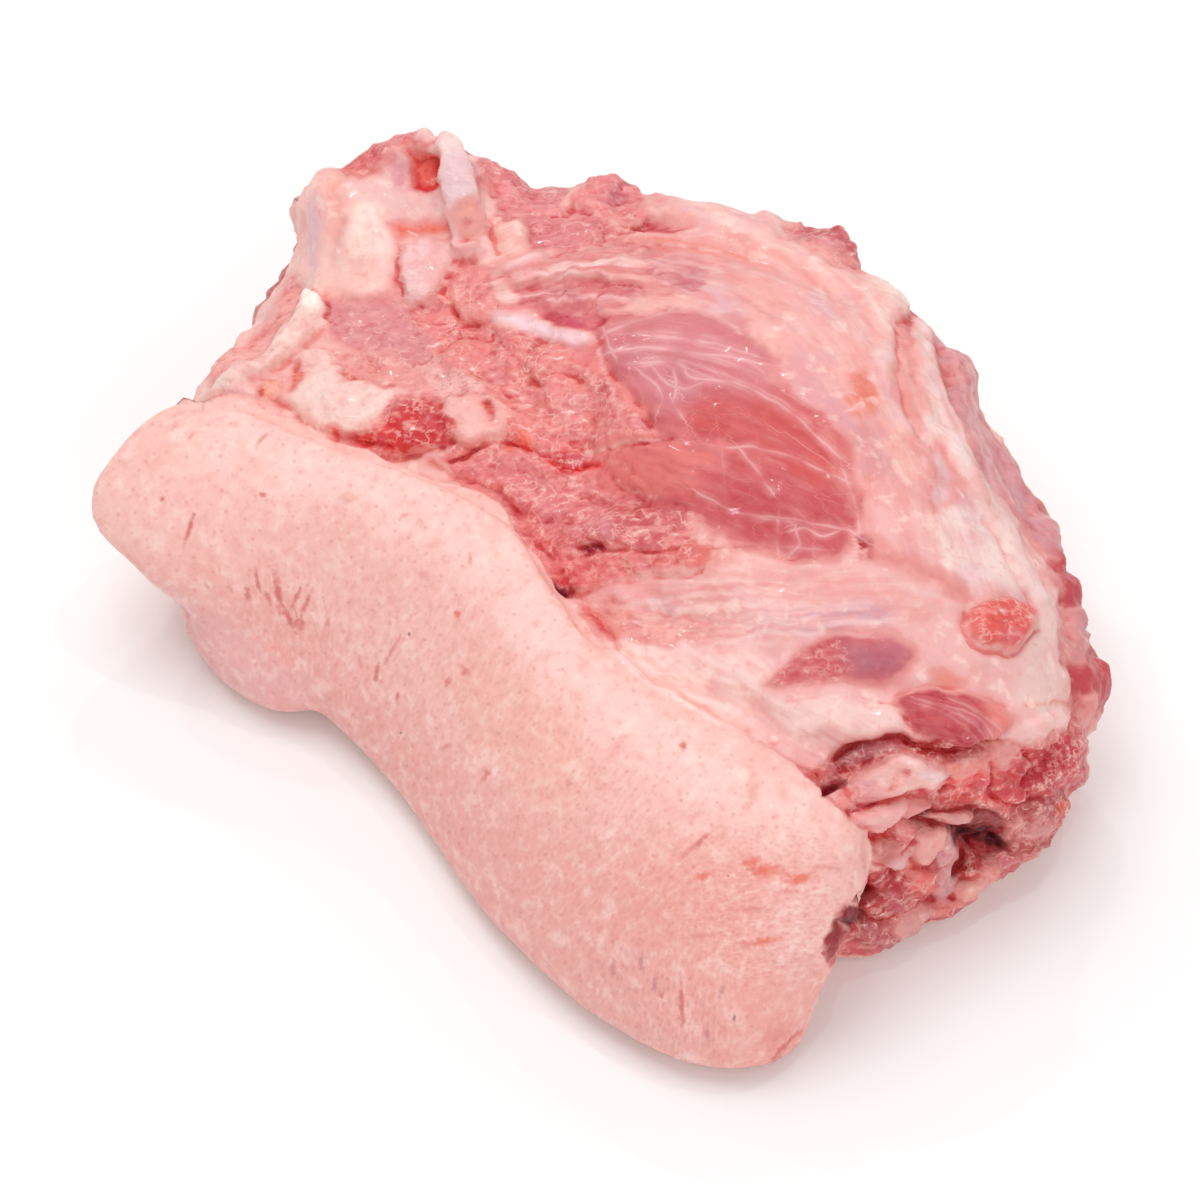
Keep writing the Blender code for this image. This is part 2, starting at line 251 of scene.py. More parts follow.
# ---------------------------------------------------------------- what lies where, in drawing coordinates
# Each area is lean or fat, with a name, a display colour and an outline. Later areas lie over earlier ones.
# A few colours below are painted shade, in recesses, crevices, slits and holes, and rim_highlight is a painted
# highlight.
AREAS = (
    ("fat", "right_dome", (236, 168, 164), ((700, 200), (850, 232), (965, 340), (1075, 560), (1050, 625),
        (960, 600), (860, 540), (851, 457), (830, 415), (772, 373), (747, 332), (705, 315), (690, 290),
        (650, 235))),
    ("fat", "lower_band", (238, 184, 180), ((560, 590), (680, 560), (800, 565), (860, 540), (960, 600),
        (1060, 600), (1068, 706), (1000, 745), (900, 735), (820, 775), (790, 790), (700, 735), (640, 700),
        (600, 660), (560, 610))),
    ("lean", "right_wall", (216, 110, 112), ((800, 775), (900, 735), (1000, 745), (1064, 712), (1072, 640),
        (1130, 600), (1130, 780), (1060, 870), (985, 910), (900, 960), (820, 960), (871, 883), (868, 835),
        (830, 800))),
    ("lean", "centre_field", (236, 142, 140), ((392, 300), (400, 245), (470, 262), (560, 300), (630, 330),
        (672, 430), (690, 520), (670, 560), (560, 590), (500, 500), (440, 452), (420, 380))),
    ("lean", "masseter", (209, 106, 108), ((597, 319), (638, 309), (705, 313), (747, 332), (772, 373),
        (830, 415), (851, 457), (859, 515), (851, 552), (797, 561), (734, 545), (688, 520), (640, 500),
        (622, 465), (650, 432), (640, 415), (613, 373), (597, 340))),
    ("lean", "masseter_deep", (208, 84, 84), ((692, 400), (750, 392), (800, 410), (838, 440), (845, 475),
        (800, 482), (740, 470), (700, 440))),
    ("lean", "masseter_low", (198, 78, 84), ((690, 470), (760, 480), (850, 500), (856, 545), (797, 556),
        (740, 535), (700, 505))),
    ("lean", "masseter_near", (226, 124, 118), ((600, 457), (640, 444), (690, 440), (722, 446), (704, 470),
        (690, 498), (650, 497), (622, 488), (603, 470))),
    ("lean", "masseter_top", (208, 118, 126), ((609, 322), (650, 315), (720, 325), (755, 350), (762, 385),
        (700, 388), (640, 375), (612, 350))),
    ("lean", "masseter_second", (216, 132, 138), ((660, 313), (710, 317), (760, 347), (772, 376), (743, 380),
        (685, 376), (660, 359))),
    ("lean", "masseter_veil", (208, 126, 134), ((620, 356), (680, 352), (700, 372), (692, 398), (675, 412),
        (650, 402), (630, 382))),
    ("lean", "upper_window", (198, 106, 118), ((638, 252), (663, 248), (697, 265), (705, 282), (688, 298),
        (655, 282))),
    ("lean", "deep_pocket", (208, 84, 106), ((542, 311), (582, 302), (606, 312), (600, 326), (569, 329),
        (548, 322))),
    ("lean", "upper_left_band", (212, 116, 122), ((517, 277), (613, 277), (638, 286), (622, 307), (563, 311),
        (526, 302))),
    ("lean", "top_dark_left", (208, 156, 160), ((470, 160), (505, 160), (526, 178), (563, 186), (559, 207),
        (526, 209), (501, 194), (484, 182))),
    ("lean", "top_lean_edge", (221, 140, 142), ((497, 155), (560, 180), (563, 212), (520, 203), (497, 185))),
    ("lean", "top_lean_below", (230, 146, 148), ((505, 207), (580, 207), (613, 223), (605, 240), (563, 257),
        (538, 248), (526, 227))),
    ("lean", "far_lobe", (232, 136, 137), ((572, 196), (605, 170), (630, 168), (655, 190), (649, 211),
        (613, 219), (588, 213))),
    ("lean", "far_lobe_hollow", (208, 122, 134), ((608, 190), (625, 184), (632, 194), (622, 205),
        (610, 202))),
    ("fat", "pale_top", (242, 190, 184), ((651, 190), (700, 195), (790, 215), (797, 240), (740, 248),
        (690, 240), (650, 222))),
    ("lean", "top_red_groove", (188, 53, 66), ((605, 240), (622, 227), (647, 220), (690, 224), (650, 232),
        (622, 240))),
    ("lean", "right_dark_lobe", (198, 88, 94), ((786, 228), (813, 220), (842, 236), (866, 257), (862, 275),
        (842, 270), (822, 257), (800, 246))),
    ("fat", "dome_bright", (242, 180, 174), ((750, 255), (820, 262), (850, 300), (862, 350), (850, 400),
        (815, 390), (790, 345), (760, 300))),
    ("fat", "dome_lilac", (228, 200, 212), ((702, 292), (722, 288), (743, 306), (738, 322), (715, 318))),
    ("lean", "dome_salmon", (236, 156, 148), ((620, 240), (650, 234), (676, 240), (672, 248), (640, 250),
        (622, 252))),
    ("fat", "dome_orange_two", (222, 122, 96), ((866, 472), (874, 470), (877, 478), (870, 482))),
    ("fat", "dome_foot_cream", (245, 190, 178), ((886, 400), (902, 420), (912, 450), (908, 478), (896, 462),
        (886, 430))),
    ("fat", "dome_foot", (218, 156, 160), ((850, 424), (870, 430), (884, 462), (880, 480), (862, 466),
        (852, 444))),
    ("fat", "dome_mauve_two", (222, 160, 166), ((822, 396), (842, 396), (850, 416), (842, 428), (826, 420))),
    ("fat", "dome_mauve", (228, 170, 175), ((784, 356), (806, 360), (824, 388), (822, 410), (800, 402),
        (786, 380))),
    ("fat", "dome_grey", (232, 186, 190), ((812, 298), (836, 300), (848, 322), (834, 328), (816, 316))),
    ("fat", "dome_pale", (246, 190, 184), ((742, 288), (768, 290), (786, 318), (790, 352), (772, 356),
        (752, 330))),
    ("fat", "dome_cream", (247, 204, 192), ((766, 237), (800, 242), (826, 256), (822, 268), (790, 262),
        (764, 250))),
    ("fat", "dome_orange", (228, 120, 98), ((854, 382), (866, 380), (874, 396), (868, 408), (856, 402))),
    ("fat", "far_ridge", (247, 221, 209), ((866, 286), (880, 276), (901, 286), (907, 309), (898, 325),
        (894, 356), (890, 394), (878, 371), (878, 332), (862, 305))),
    ("fat", "ridge_lilac", (226, 196, 203), ((877, 347), (889, 350), (893, 397), (880, 392))),
    ("lean", "ridge_gap", (198, 58, 58), ((898, 325), (907, 313), (913, 317), (914, 350), (905, 342))),
    ("lean", "salmon_band", (229, 148, 140), ((898, 330), (905, 342), (914, 350), (915, 380), (920, 418),
        (898, 402), (892, 370))),
    ("fat", "lilac_band", (240, 220, 217), ((913, 317), (928, 325), (936, 367), (963, 421), (975, 468),
        (990, 507), (974, 488), (948, 452), (925, 421), (915, 375))),
    ("lean", "rim_lean_one", (214, 150, 153), ((927, 306), (948, 312), (975, 345), (988, 388), (980, 428),
        (967, 429), (952, 406), (936, 367))),
    ("fat", "cream_band", (228, 185, 180), ((968, 472), (985, 480), (1014, 513), (1022, 547), (1047, 597),
        (1035, 605), (1010, 555), (985, 522))),
    ("lean", "rim_lean_two", (212, 151, 157), ((975, 405), (1015, 435), (1045, 480), (1078, 540), (1064, 562),
        (1037, 546), (1006, 503), (990, 482), (973, 450))),
    ("lean", "red_lilac_patch", (230, 190, 192), ((930, 447), (946, 452), (952, 480), (950, 500), (936, 510),
        (930, 490))),
    ("fat", "white_fat", (247, 219, 213), ((935, 513), (975, 505), (1015, 545), (1050, 597), (1030, 603),
        (1000, 590), (960, 590), (938, 560))),
    ("lean", "node_streak", (223, 142, 136), ((858, 534), (912, 557), (962, 590), (966, 602), (912, 572),
        (858, 545))),
    ("lean", "puncture", (168, 40, 52), ((859, 543), (867, 541), (870, 550), (864, 556), (859, 552))),
    ("lean", "granular_upper", (233, 139, 135), ((459, 323), (505, 323), (555, 348), (605, 373), (630, 398),
        (650, 432), (613, 448), (563, 440), (513, 436), (497, 411), (463, 390), (442, 348))),
    ("lean", "granular_lower", (226, 130, 130), ((455, 473), (513, 448), (555, 470), (600, 486), (625, 500),
        (680, 508), (690, 518), (660, 540), (585, 550), (559, 563), (538, 555), (522, 523), (497, 500),
        (463, 484))),
    ("lean", "granular_deep", (202, 90, 94), ((628, 500), (672, 502), (690, 515), (668, 532), (640, 540),
        (620, 528))),
    ("lean", "pink_band", (231, 125, 122), ((551, 567), (580, 557), (638, 552), (672, 548), (682, 561),
        (647, 573), (597, 584), (563, 586))),
    # Painted shade: the two crevices are near-black red for the shade in them, the second for the shadow beside
    # the rind's lip.
    ("lean", "crevice_one", (146, 24, 44), ((579, 540), (590, 537), (599, 544), (594, 552), (582, 550))),
    ("lean", "crevice_two", (124, 20, 38), ((549, 583), (558, 581), (568, 586), (566, 594), (554, 594))),
    ("lean", "salmon_bump", (227, 120, 111), ((674, 552), (690, 541), (715, 545), (722, 560), (705, 570),
        (680, 566))),
    ("fat", "bump_rim", (235, 164, 156), ((722, 545), (738, 552), (732, 566), (712, 575), (690, 574),
        (712, 566))),
    ("lean", "wet_muscle", (221, 146, 148), ((331, 296), (406, 292), (414, 317), (435, 346), (423, 367),
        (402, 367), (352, 350), (331, 333))),
    ("lean", "orange_notch", (236, 106, 84), ((389, 226), (409, 222), (446, 221), (450, 230), (424, 234),
        (398, 238), (397, 250), (391, 249))),
    ("lean", "strap_right_lean", (228, 142, 144), ((477, 167), (497, 162), (518, 179), (531, 200), (502, 221),
        (493, 204), (481, 187))),
    ("lean", "salmon_marble", (240, 153, 144), ((422, 283), (450, 279), (477, 300), (470, 317), (440, 310))),
    ("fat", "corner_fat", (246, 200, 190), ((296, 178), (320, 172), (347, 173), (377, 183), (392, 200),
        (391, 225), (397, 240), (393, 287), (369, 299), (351, 299), (320, 292), (301, 272), (290, 225))),
    ("fat", "corner_salmon", (240, 176, 162), ((326, 188), (342, 186), (350, 204), (346, 228), (334, 236),
        (328, 212))),
    ("fat", "corner_white", (252, 226, 216), ((356, 206), (376, 204), (384, 232), (374, 262), (360, 250),
        (354, 226))),
    ("fat", "corner_lilac", (232, 192, 196), ((304, 196), (318, 200), (322, 240), (312, 262), (302, 240))),
    ("fat", "membrane", (236, 194, 190), ((352, 179), (385, 183), (415, 190), (437, 192), (446, 216),
        (392, 222), (380, 205), (360, 196))),
    ("lean", "top_red_rim", (220, 116, 116), ((343, 162), (377, 138), (400, 130), (427, 126), (436, 140),
        (430, 148), (409, 151), (391, 158), (369, 175), (345, 176))),
    ("fat", "rim_highlight", (255, 250, 246), ((418, 128), (440, 124), (444, 136), (424, 141))),
    ("lean", "corner_hollow", (250, 102, 92), ((409, 151), (436, 156), (442, 184), (431, 193), (414, 187),
        (408, 170))),
    ("lean", "corner_lobe", (250, 124, 106), ((414, 160), (424, 158), (430, 174), (424, 184), (416, 180))),
    ("fat", "membrane_window", (224, 159, 166), ((388, 157), (407, 153), (409, 172), (413, 188), (392, 184))),
    ("fat", "strap", (246, 216, 212), ((436, 134), (450, 126), (464, 142), (471, 168), (478, 200), (489, 226),
        (494, 250), (482, 256), (466, 262), (452, 256), (449, 231), (447, 202), (441, 181))),
    ("fat", "strap_lilac", (232, 200, 205), ((452, 160), (459, 165), (468, 200), (474, 235), (466, 240),
        (458, 200))),
    ("lean", "strap_fork", (238, 170, 158), ((463, 206), (476, 208), (480, 246), (468, 248), (462, 230))),
    ("fat", "cream_nodule", (250, 218, 206), ((493, 224), (502, 220), (511, 222), (520, 220), (530, 226),
        (528, 240), (512, 246), (497, 244))),
    ("fat", "lilac_nodule", (243, 198, 197), ((398, 246), (427, 238), (458, 238), (478, 249), (462, 262),
        (446, 278), (436, 304), (418, 308), (404, 290))),
    ("lean", "ledge_lean", (248, 171, 163), ((280, 275), (300, 290), (293, 308), (277, 333), (256, 358),
        (227, 381), (205, 378), (227, 350), (245, 333), (268, 308))),
    ("fat", "ledge_cream", (255, 248, 236), ((306, 279), (327, 300), (322, 325), (296, 350), (268, 371),
        (239, 387), (218, 391), (227, 379), (256, 358), (277, 333), (293, 308), (300, 287))),
    ("fat", "ledge_fat", (249, 230, 220), ((293, 358), (327, 350), (343, 371), (335, 383), (385, 392),
        (381, 417), (360, 429), (327, 433), (305, 425), (292, 400))),
    ("lean", "ledge_marble", (236, 159, 151), ((330, 352), (360, 356), (420, 370), (420, 388), (390, 388),
        (350, 378), (335, 366))),
    ("lean", "ledge_orange_one", (230, 110, 86), ((284, 372), (296, 367), (298, 388), (288, 396))),
    ("lean", "ledge_orange_two", (254, 192, 168), ((256, 384), (274, 379), (285, 392), (266, 400))),
    ("lean", "ledge_orange_three", (238, 74, 52), ((326, 425), (338, 427), (338, 438), (326, 437))),
    ("lean", "pink_tail", (242, 190, 185), ((427, 370), (450, 368), (477, 388), (472, 400), (440, 392))),
    ("fat", "fat_flap", (242, 186, 178), ((447, 398), (472, 396), (503, 408), (505, 436), (488, 447),
        (462, 442), (442, 418))),
    ("lean", "flap_gap", (205, 64, 58), ((481, 403), (487, 402), (493, 416), (488, 424), (483, 414))),
    ("lean", "flap_orange", (252, 122, 100), ((502, 436), (514, 433), (530, 439), (524, 446), (506, 446))),
    ("lean", "gland", (206, 54, 58), ((335, 437), (360, 429), (381, 417), (389, 400), (414, 396), (443, 412),
        (456, 425), (450, 437), (418, 450), (393, 456), (368, 451), (347, 443))),
    ("lean", "gland_deep", (222, 64, 66), ((340, 437), (368, 428), (388, 420), (402, 430), (392, 448),
        (366, 448))),
    ("fat", "streak_one", (255, 252, 248), ((556, 273), (590, 262), (618, 256), (630, 254), (622, 267),
        (588, 278), (560, 281))),
    ("fat", "streak_two", (238, 180, 176), ((488, 274), (500, 262), (549, 246), (556, 252), (524, 266),
        (500, 278))),
    ("fat", "streak_cream", (248, 226, 216), ((490, 287), (512, 285), (524, 296), (505, 300))),
    ("fat", "lilac_cleft", (248, 218, 224), ((489, 319), (500, 309), (528, 311), (564, 328), (595, 333),
        (588, 346), (556, 344), (530, 336), (502, 327))),
    ("lean", "red_slit", (210, 26, 34), ((547, 457), (563, 452), (588, 459), (599, 465), (580, 472),
        (559, 472))),
    ("lean", "low_salmon", (245, 175, 165), ((578, 610), (613, 606), (663, 619), (708, 628), (700, 642),
        (647, 638), (605, 633), (586, 625))),
    ("fat", "low_cream", (248, 212, 204), ((601, 643), (647, 646), (697, 653), (747, 653), (772, 670),
        (755, 703), (747, 728), (757, 755), (722, 742), (672, 712), (630, 682))),
    ("fat", "low_lilac", (212, 160, 170), ((786, 612), (840, 606), (882, 612), (870, 628), (800, 628))),
    ("lean", "patch_a", (205, 94, 98), ((770, 682), (797, 656), (822, 638), (860, 630), (893, 638),
        (912, 656), (904, 673), (885, 686), (843, 682), (802, 687))),
    ("lean", "patch_a_right", (188, 108, 124), ((850, 640), (892, 642), (908, 657), (900, 670), (872, 680),
        (850, 664))),
    ("lean", "patch_b", (186, 62, 74), ((897, 697), (927, 690), (968, 696), (1006, 712), (1012, 727),
        (993, 744), (964, 748), (931, 737), (904, 716))),
    ("lean", "patch_b_rim", (232, 140, 132), ((984, 704), (1006, 712), (1013, 727), (1000, 740), (985, 744),
        (992, 728))),
    ("lean", "patch_orange", (232, 148, 134), ((930, 674), (948, 671), (958, 682), (940, 687))),
    ("fat", "low_left_fat", (240, 202, 196), ((768, 700), (820, 698), (893, 705), (893, 730), (850, 737),
        (790, 733), (766, 718))),
    ("lean", "node", (229, 98, 91), ((968, 618), (981, 604), (1006, 600), (1031, 610), (1034, 631),
        (1014, 647), (989, 648), (970, 636))),
    ("fat", "node_side_fat", (238, 200, 194), ((1036, 606), (1056, 600), (1068, 650), (1070, 705),
        (1050, 722), (1018, 708), (1020, 655))),
    ("fat", "tongue", (247, 206, 200), ((1014, 727), (1068, 706), (1062, 731), (1035, 748), (1010, 740))),
    ("lean", "far_rim", (194, 80, 86), ((1054, 552), (1085, 575), (1120, 631), (1122, 672), (1105, 706),
        (1110, 727), (1100, 760), (1083, 785), (1070, 781), (1078, 743), (1073, 706), (1062, 660),
        (1062, 614), (1048, 575))),
    ("fat", "rim_pale_one", (198, 136, 138), ((1062, 616), (1076, 610), (1082, 640), (1076, 668),
        (1066, 660))),
    ("fat", "rim_pale_two", (224, 152, 150), ((1078, 700), (1090, 706), (1088, 740), (1092, 764), (1082, 770),
        (1078, 740))),
    ("fat", "rim_nodule", (226, 150, 152), ((1078, 560), (1096, 590), (1100, 620), (1088, 616), (1076, 590))),
    # Painted shade: the recess and the mauve lean below it are dark for the shadow under the fat layer's
    # overhang.
    ("lean", "recess", (180, 38, 36), ((836, 754), (859, 741), (896, 732), (912, 738), (936, 746), (951, 752),
        (972, 748), (984, 741), (1006, 742), (1002, 755), (972, 762), (950, 762), (925, 756), (900, 752),
        (870, 764), (838, 776))),
    ("lean", "wall_mauve", (182, 106, 111), ((823, 766), (836, 760), (851, 750), (860, 742), (879, 738),
        (899, 748), (887, 755), (870, 762), (851, 769), (838, 775), (823, 780))),
    ("lean", "wall_knob", (208, 106, 100), ((799, 768), (817, 767), (824, 768), (824, 784), (815, 785),
        (801, 782))),
    # Painted shade: the slit is dark for the shade inside it.
    ("lean", "wall_slit", (124, 30, 38), ((821, 790), (825, 784), (844, 781), (846, 785), (830, 790),
        (824, 797))),
    ("fat", "wall_salmon", (232, 142, 136), ((824, 797), (832, 790), (847, 785), (856, 794), (858, 802),
        (853, 811), (844, 810), (833, 803))),
    ("fat", "wall_fat", (245, 194, 187), ((847, 786), (859, 774), (877, 764), (893, 756), (904, 753),
        (920, 760), (935, 761), (946, 768), (946, 776), (934, 790), (904, 794), (882, 800), (860, 801),
        (855, 793))),
    ("fat", "wall_white", (255, 240, 237), ((905, 762), (925, 760), (943, 766), (944, 774), (930, 774),
        (912, 768))),
    ("fat", "wall_lilac_spot", (234, 168, 174), ((858, 780), (872, 778), (880, 790), (868, 799), (858, 796))),
    ("lean", "wall_orange", (238, 118, 94), ((884, 783), (893, 775), (893, 782), (885, 787))),
    ("lean", "wall_pink_spot", (226, 112, 112), ((900, 767), (908, 770), (905, 776), (899, 773))),
    ("lean", "wall_band", (255, 182, 180), ((882, 800), (904, 794), (930, 791), (946, 783), (962, 783),
        (966, 792), (945, 797), (910, 802), (880, 806))),
    ("fat", "lobe_two", (249, 196, 193), ((857, 812), (877, 807), (898, 803), (910, 803), (907, 812),
        (896, 823), (891, 830), (882, 834), (872, 834), (864, 825), (855, 818))),
    ("fat", "lobe_three", (228, 146, 142), ((910, 804), (930, 801), (931, 809), (918, 818), (915, 821),
        (894, 825), (904, 814))),
    ("lean", "wall_red_back", (210, 80, 82), ((930, 801), (945, 797), (981, 806), (955, 811), (934, 811))),
    # Painted shade: the slit is dark for the shade inside it.
    ("lean", "slit_two", (112, 42, 40), ((914, 818), (930, 810), (934, 813), (920, 820), (934, 825),
        (952, 832), (948, 835), (930, 829), (914, 823))),
    ("fat", "wall_pale", (216, 152, 144), ((932, 816), (970, 815), (972, 826), (955, 830), (942, 828),
        (931, 821))),
    ("lean", "wall_brown", (170, 84, 76), ((916, 823), (944, 832), (946, 836), (924, 836), (917, 830))),
    ("lean", "wall_cluster", (224, 92, 94), ((976, 770), (995, 760), (1015, 755), (1027, 746), (1056, 730),
        (1068, 744), (1070, 772), (1056, 779), (1051, 795), (1029, 797), (1027, 804), (1005, 803),
        (993, 785))),
    ("lean", "cluster_dark", (193, 46, 60), ((1030, 750), (1060, 744), (1068, 760), (1062, 778), (1048, 792),
        (1030, 796), (1022, 780), (1036, 768))),
    ("lean", "flap_red", (245, 103, 102), ((950, 775), (975, 772), (990, 764), (992, 785), (1005, 803),
        (1002, 809), (982, 802), (960, 795), (946, 797), (948, 788))),
    ("fat", "recess_fat", (224, 148, 142), ((998, 757), (1009, 743), (1020, 748), (1014, 756), (1003, 760))),
    ("fat", "recess_salmon", (237, 132, 122), ((950, 764), (984, 758), (1000, 756), (993, 764), (976, 770),
        (953, 777))),
    ("lean", "flap_edge", (225, 86, 80), ((946, 797), (970, 796), (982, 802), (1000, 808), (1008, 814),
        (1000, 816), (982, 808), (965, 802), (946, 800))),
    ("lean", "wall_brown_low", (140, 50, 46), ((972, 812), (984, 808), (1000, 812), (1008, 818), (1004, 832),
        (985, 834), (974, 828))),
    ("lean", "wall_right_mid", (176, 66, 68), ((1008, 817), (1028, 805), (1052, 796), (1060, 790),
        (1068, 804), (1064, 815), (1052, 830), (1047, 842), (1033, 848), (995, 850), (1004, 834))),
    ("fat", "right_mid_white", (198, 132, 132), ((1026, 826), (1036, 818), (1050, 820), (1046, 830),
        (1034, 834), (1026, 832))),
    ("fat", "right_mid_streak", (234, 168, 152), ((1004, 832), (1014, 818), (1020, 820), (1014, 830),
        (1008, 838))),
    ("lean", "right_mid_orange", (226, 88, 66), ((1054, 804), (1064, 802), (1065, 814), (1054, 816))),
    ("lean", "right_mid_low", (166, 38, 30), ((1020, 842), (1046, 834), (1046, 842), (1034, 848),
        (1010, 849))),
    ("lean", "red_pocket", (216, 58, 46), ((872, 836), (892, 838), (891, 848), (869, 847))),
    ("fat", "grey_nodules", (180, 90, 88), ((871, 847), (902, 848), (904, 854), (884, 863), (873, 859))),
    ("lean", "pink_lobe", (232, 137, 135), ((893, 826), (909, 824), (918, 833), (915, 843), (905, 852),
        (896, 845))),
    ("fat", "lobe_pale_pink", (243, 177, 170), ((918, 838), (958, 832), (953, 842), (940, 851), (938, 859),
        (926, 865), (913, 860), (915, 846))),
    ("fat", "grey_wedge", (231, 198, 199), ((883, 863), (905, 855), (915, 845), (909, 859), (899, 871),
        (888, 870))),
    ("lean", "wall_grey", (217, 175, 178), ((958, 838), (966, 850), (960, 868), (940, 877), (936, 866),
        (941, 852))),
    ("fat", "wall_lilac", (208, 156, 163), ((934, 888), (940, 878), (960, 869), (959, 886), (951, 898),
        (932, 903))),
    ("lean", "wall_block", (178, 44, 48), ((869, 868), (883, 865), (898, 876), (935, 865), (938, 875),
        (932, 888), (919, 903), (902, 913), (880, 920), (862, 912), (864, 898), (868, 884))),
    ("lean", "block_light", (242, 124, 116), ((912, 868), (932, 868), (930, 884), (914, 890), (904, 880))),
    # Painted shade: the slit under the rind and the hole in the wall are near black for the shade inside them.
    ("lean", "block_slit", (126, 0, 4), ((855, 901), (863, 891), (874, 887), (872, 894), (861, 902))),
    ("lean", "wall_hole", (50, 0, 2), ((956, 832), (984, 832), (1004, 840), (998, 855), (980, 859),
        (963, 853))),
    ("lean", "wall_curl", (200, 46, 48), ((961, 866), (972, 858), (984, 852), (998, 857), (1002, 866),
        (998, 878), (989, 882), (974, 883), (960, 878))),
    ("fat", "curl_pale", (230, 128, 114), ((988, 858), (998, 860), (1000, 872), (992, 878), (982, 876),
        (984, 866))),
    ("fat", "cream_lobe", (247, 180, 163), ((959, 880), (972, 876), (984, 878), (985, 887), (978, 893),
        (974, 899), (961, 905), (954, 902), (955, 889))),
    # Painted shade: these patches at the wall's foot are near black for the shade under the rind's corner.
    ("lean", "mauve_low", (122, 6, 14), ((841, 908), (850, 900), (864, 907), (863, 917), (841, 917))),
    ("lean", "dark_low", (92, 0, 2), ((840, 917), (862, 919), (857, 924), (842, 922))),
    ("lean", "wall_foot", (188, 44, 50), ((836, 923), (862, 925), (860, 932), (850, 933), (841, 928))),
    ("lean", "wall_bottom", (184, 104, 104), ((861, 924), (883, 919), (895, 926), (905, 936), (895, 942),
        (873, 942), (858, 936))),
    ("fat", "bottom_pale", (224, 162, 160), ((894, 928), (911, 912), (923, 903), (926, 912), (919, 922),
        (913, 932), (904, 936))),
    ("lean", "bottom_strip", (229, 131, 126), ((923, 904), (940, 902), (953, 898), (962, 905), (946, 912),
        (926, 915))),
    # Painted shade: dark for the shade under the rind.
    ("lean", "under_rind", (142, 22, 28), ((820, 955), (832, 926), (837, 918), (842, 930), (834, 942),
        (823, 955))),
)

# Strands of silvery skin: name, path.
STRANDS = (
    ("top_edge", ((597, 337), (630, 323), (667, 310), (684, 302))),
    ("left_edge", ((600, 310), (606, 338), (617, 363), (624, 392))),
    ("high_one", ((607, 353), (640, 347), (690, 353), (730, 357), (767, 365))),
    ("main_arc", ((627, 363), (655, 362), (680, 364), (690, 377), (713, 380), (737, 383), (767, 397),
        (797, 417), (813, 433), (843, 460))),
    ("high_two", ((640, 335), (680, 338), (720, 345), (755, 356))),
    ("net_one", ((672, 368), (676, 384), (673, 402), (682, 416))),
    ("middle", ((700, 443), (730, 447), (753, 447), (780, 453), (807, 463), (837, 477), (860, 488))),
    ("middle_spur", ((720, 440), (722, 452), (723, 466))),
    ("slant", ((740, 450), (757, 470), (773, 493))),
    ("low_arc", ((700, 494), (713, 500), (740, 513), (777, 517), (813, 523), (847, 530), (866, 540))),
    ("low_post", ((778, 520), (777, 550))),
    ("low_web", ((791, 531), (806, 528), (822, 536), (838, 531))),
    ("low_web_two", ((791, 553), (800, 545), (796, 531))),
    ("right_edge", ((843, 470), (852, 495), (857, 513), (860, 535))),
    ("net_two", ((655, 370), (668, 384), (684, 388), (700, 384))),
    ("window_one", ((630, 273), (657, 280), (690, 293), (707, 297))),
    ("window_two", ((640, 256), (668, 266), (700, 274))),
    ("window_three", ((600, 300), (640, 300), (690, 304), (720, 316))),
    ("upper_one", ((500, 300), (540, 292), (600, 296), (640, 306))),
    ("net_three", ((640, 372), (655, 384), (662, 398), (658, 412))),
)

# Families of such strands: name, how many, and the two paths they lie between.
STRAND_FAMILIES = (
    ("masseter_top", 6, ((606, 330), (650, 326), (700, 330), (745, 350), (770, 378)), ((622, 372), (667, 366),
        (720, 384), (780, 408), (838, 446))),
    ("masseter_low", 2, ((690, 496), (740, 506), (800, 516), (856, 530)), ((700, 540), (744, 546), (800, 552),
        (850, 556))),
    ("upper_web", 6, ((600, 300), (640, 292), (690, 296), (740, 320)), ((610, 322), (650, 314), (700, 316),
        (750, 340))),
    ("window_web", 4, ((626, 260), (660, 266), (700, 282)), ((636, 288), (668, 296), (706, 306))),
    ("patch_web", 4, ((904, 708), (930, 714), (954, 730), (968, 746)), ((934, 692), (962, 702), (990, 716),
        (1008, 730))),
)

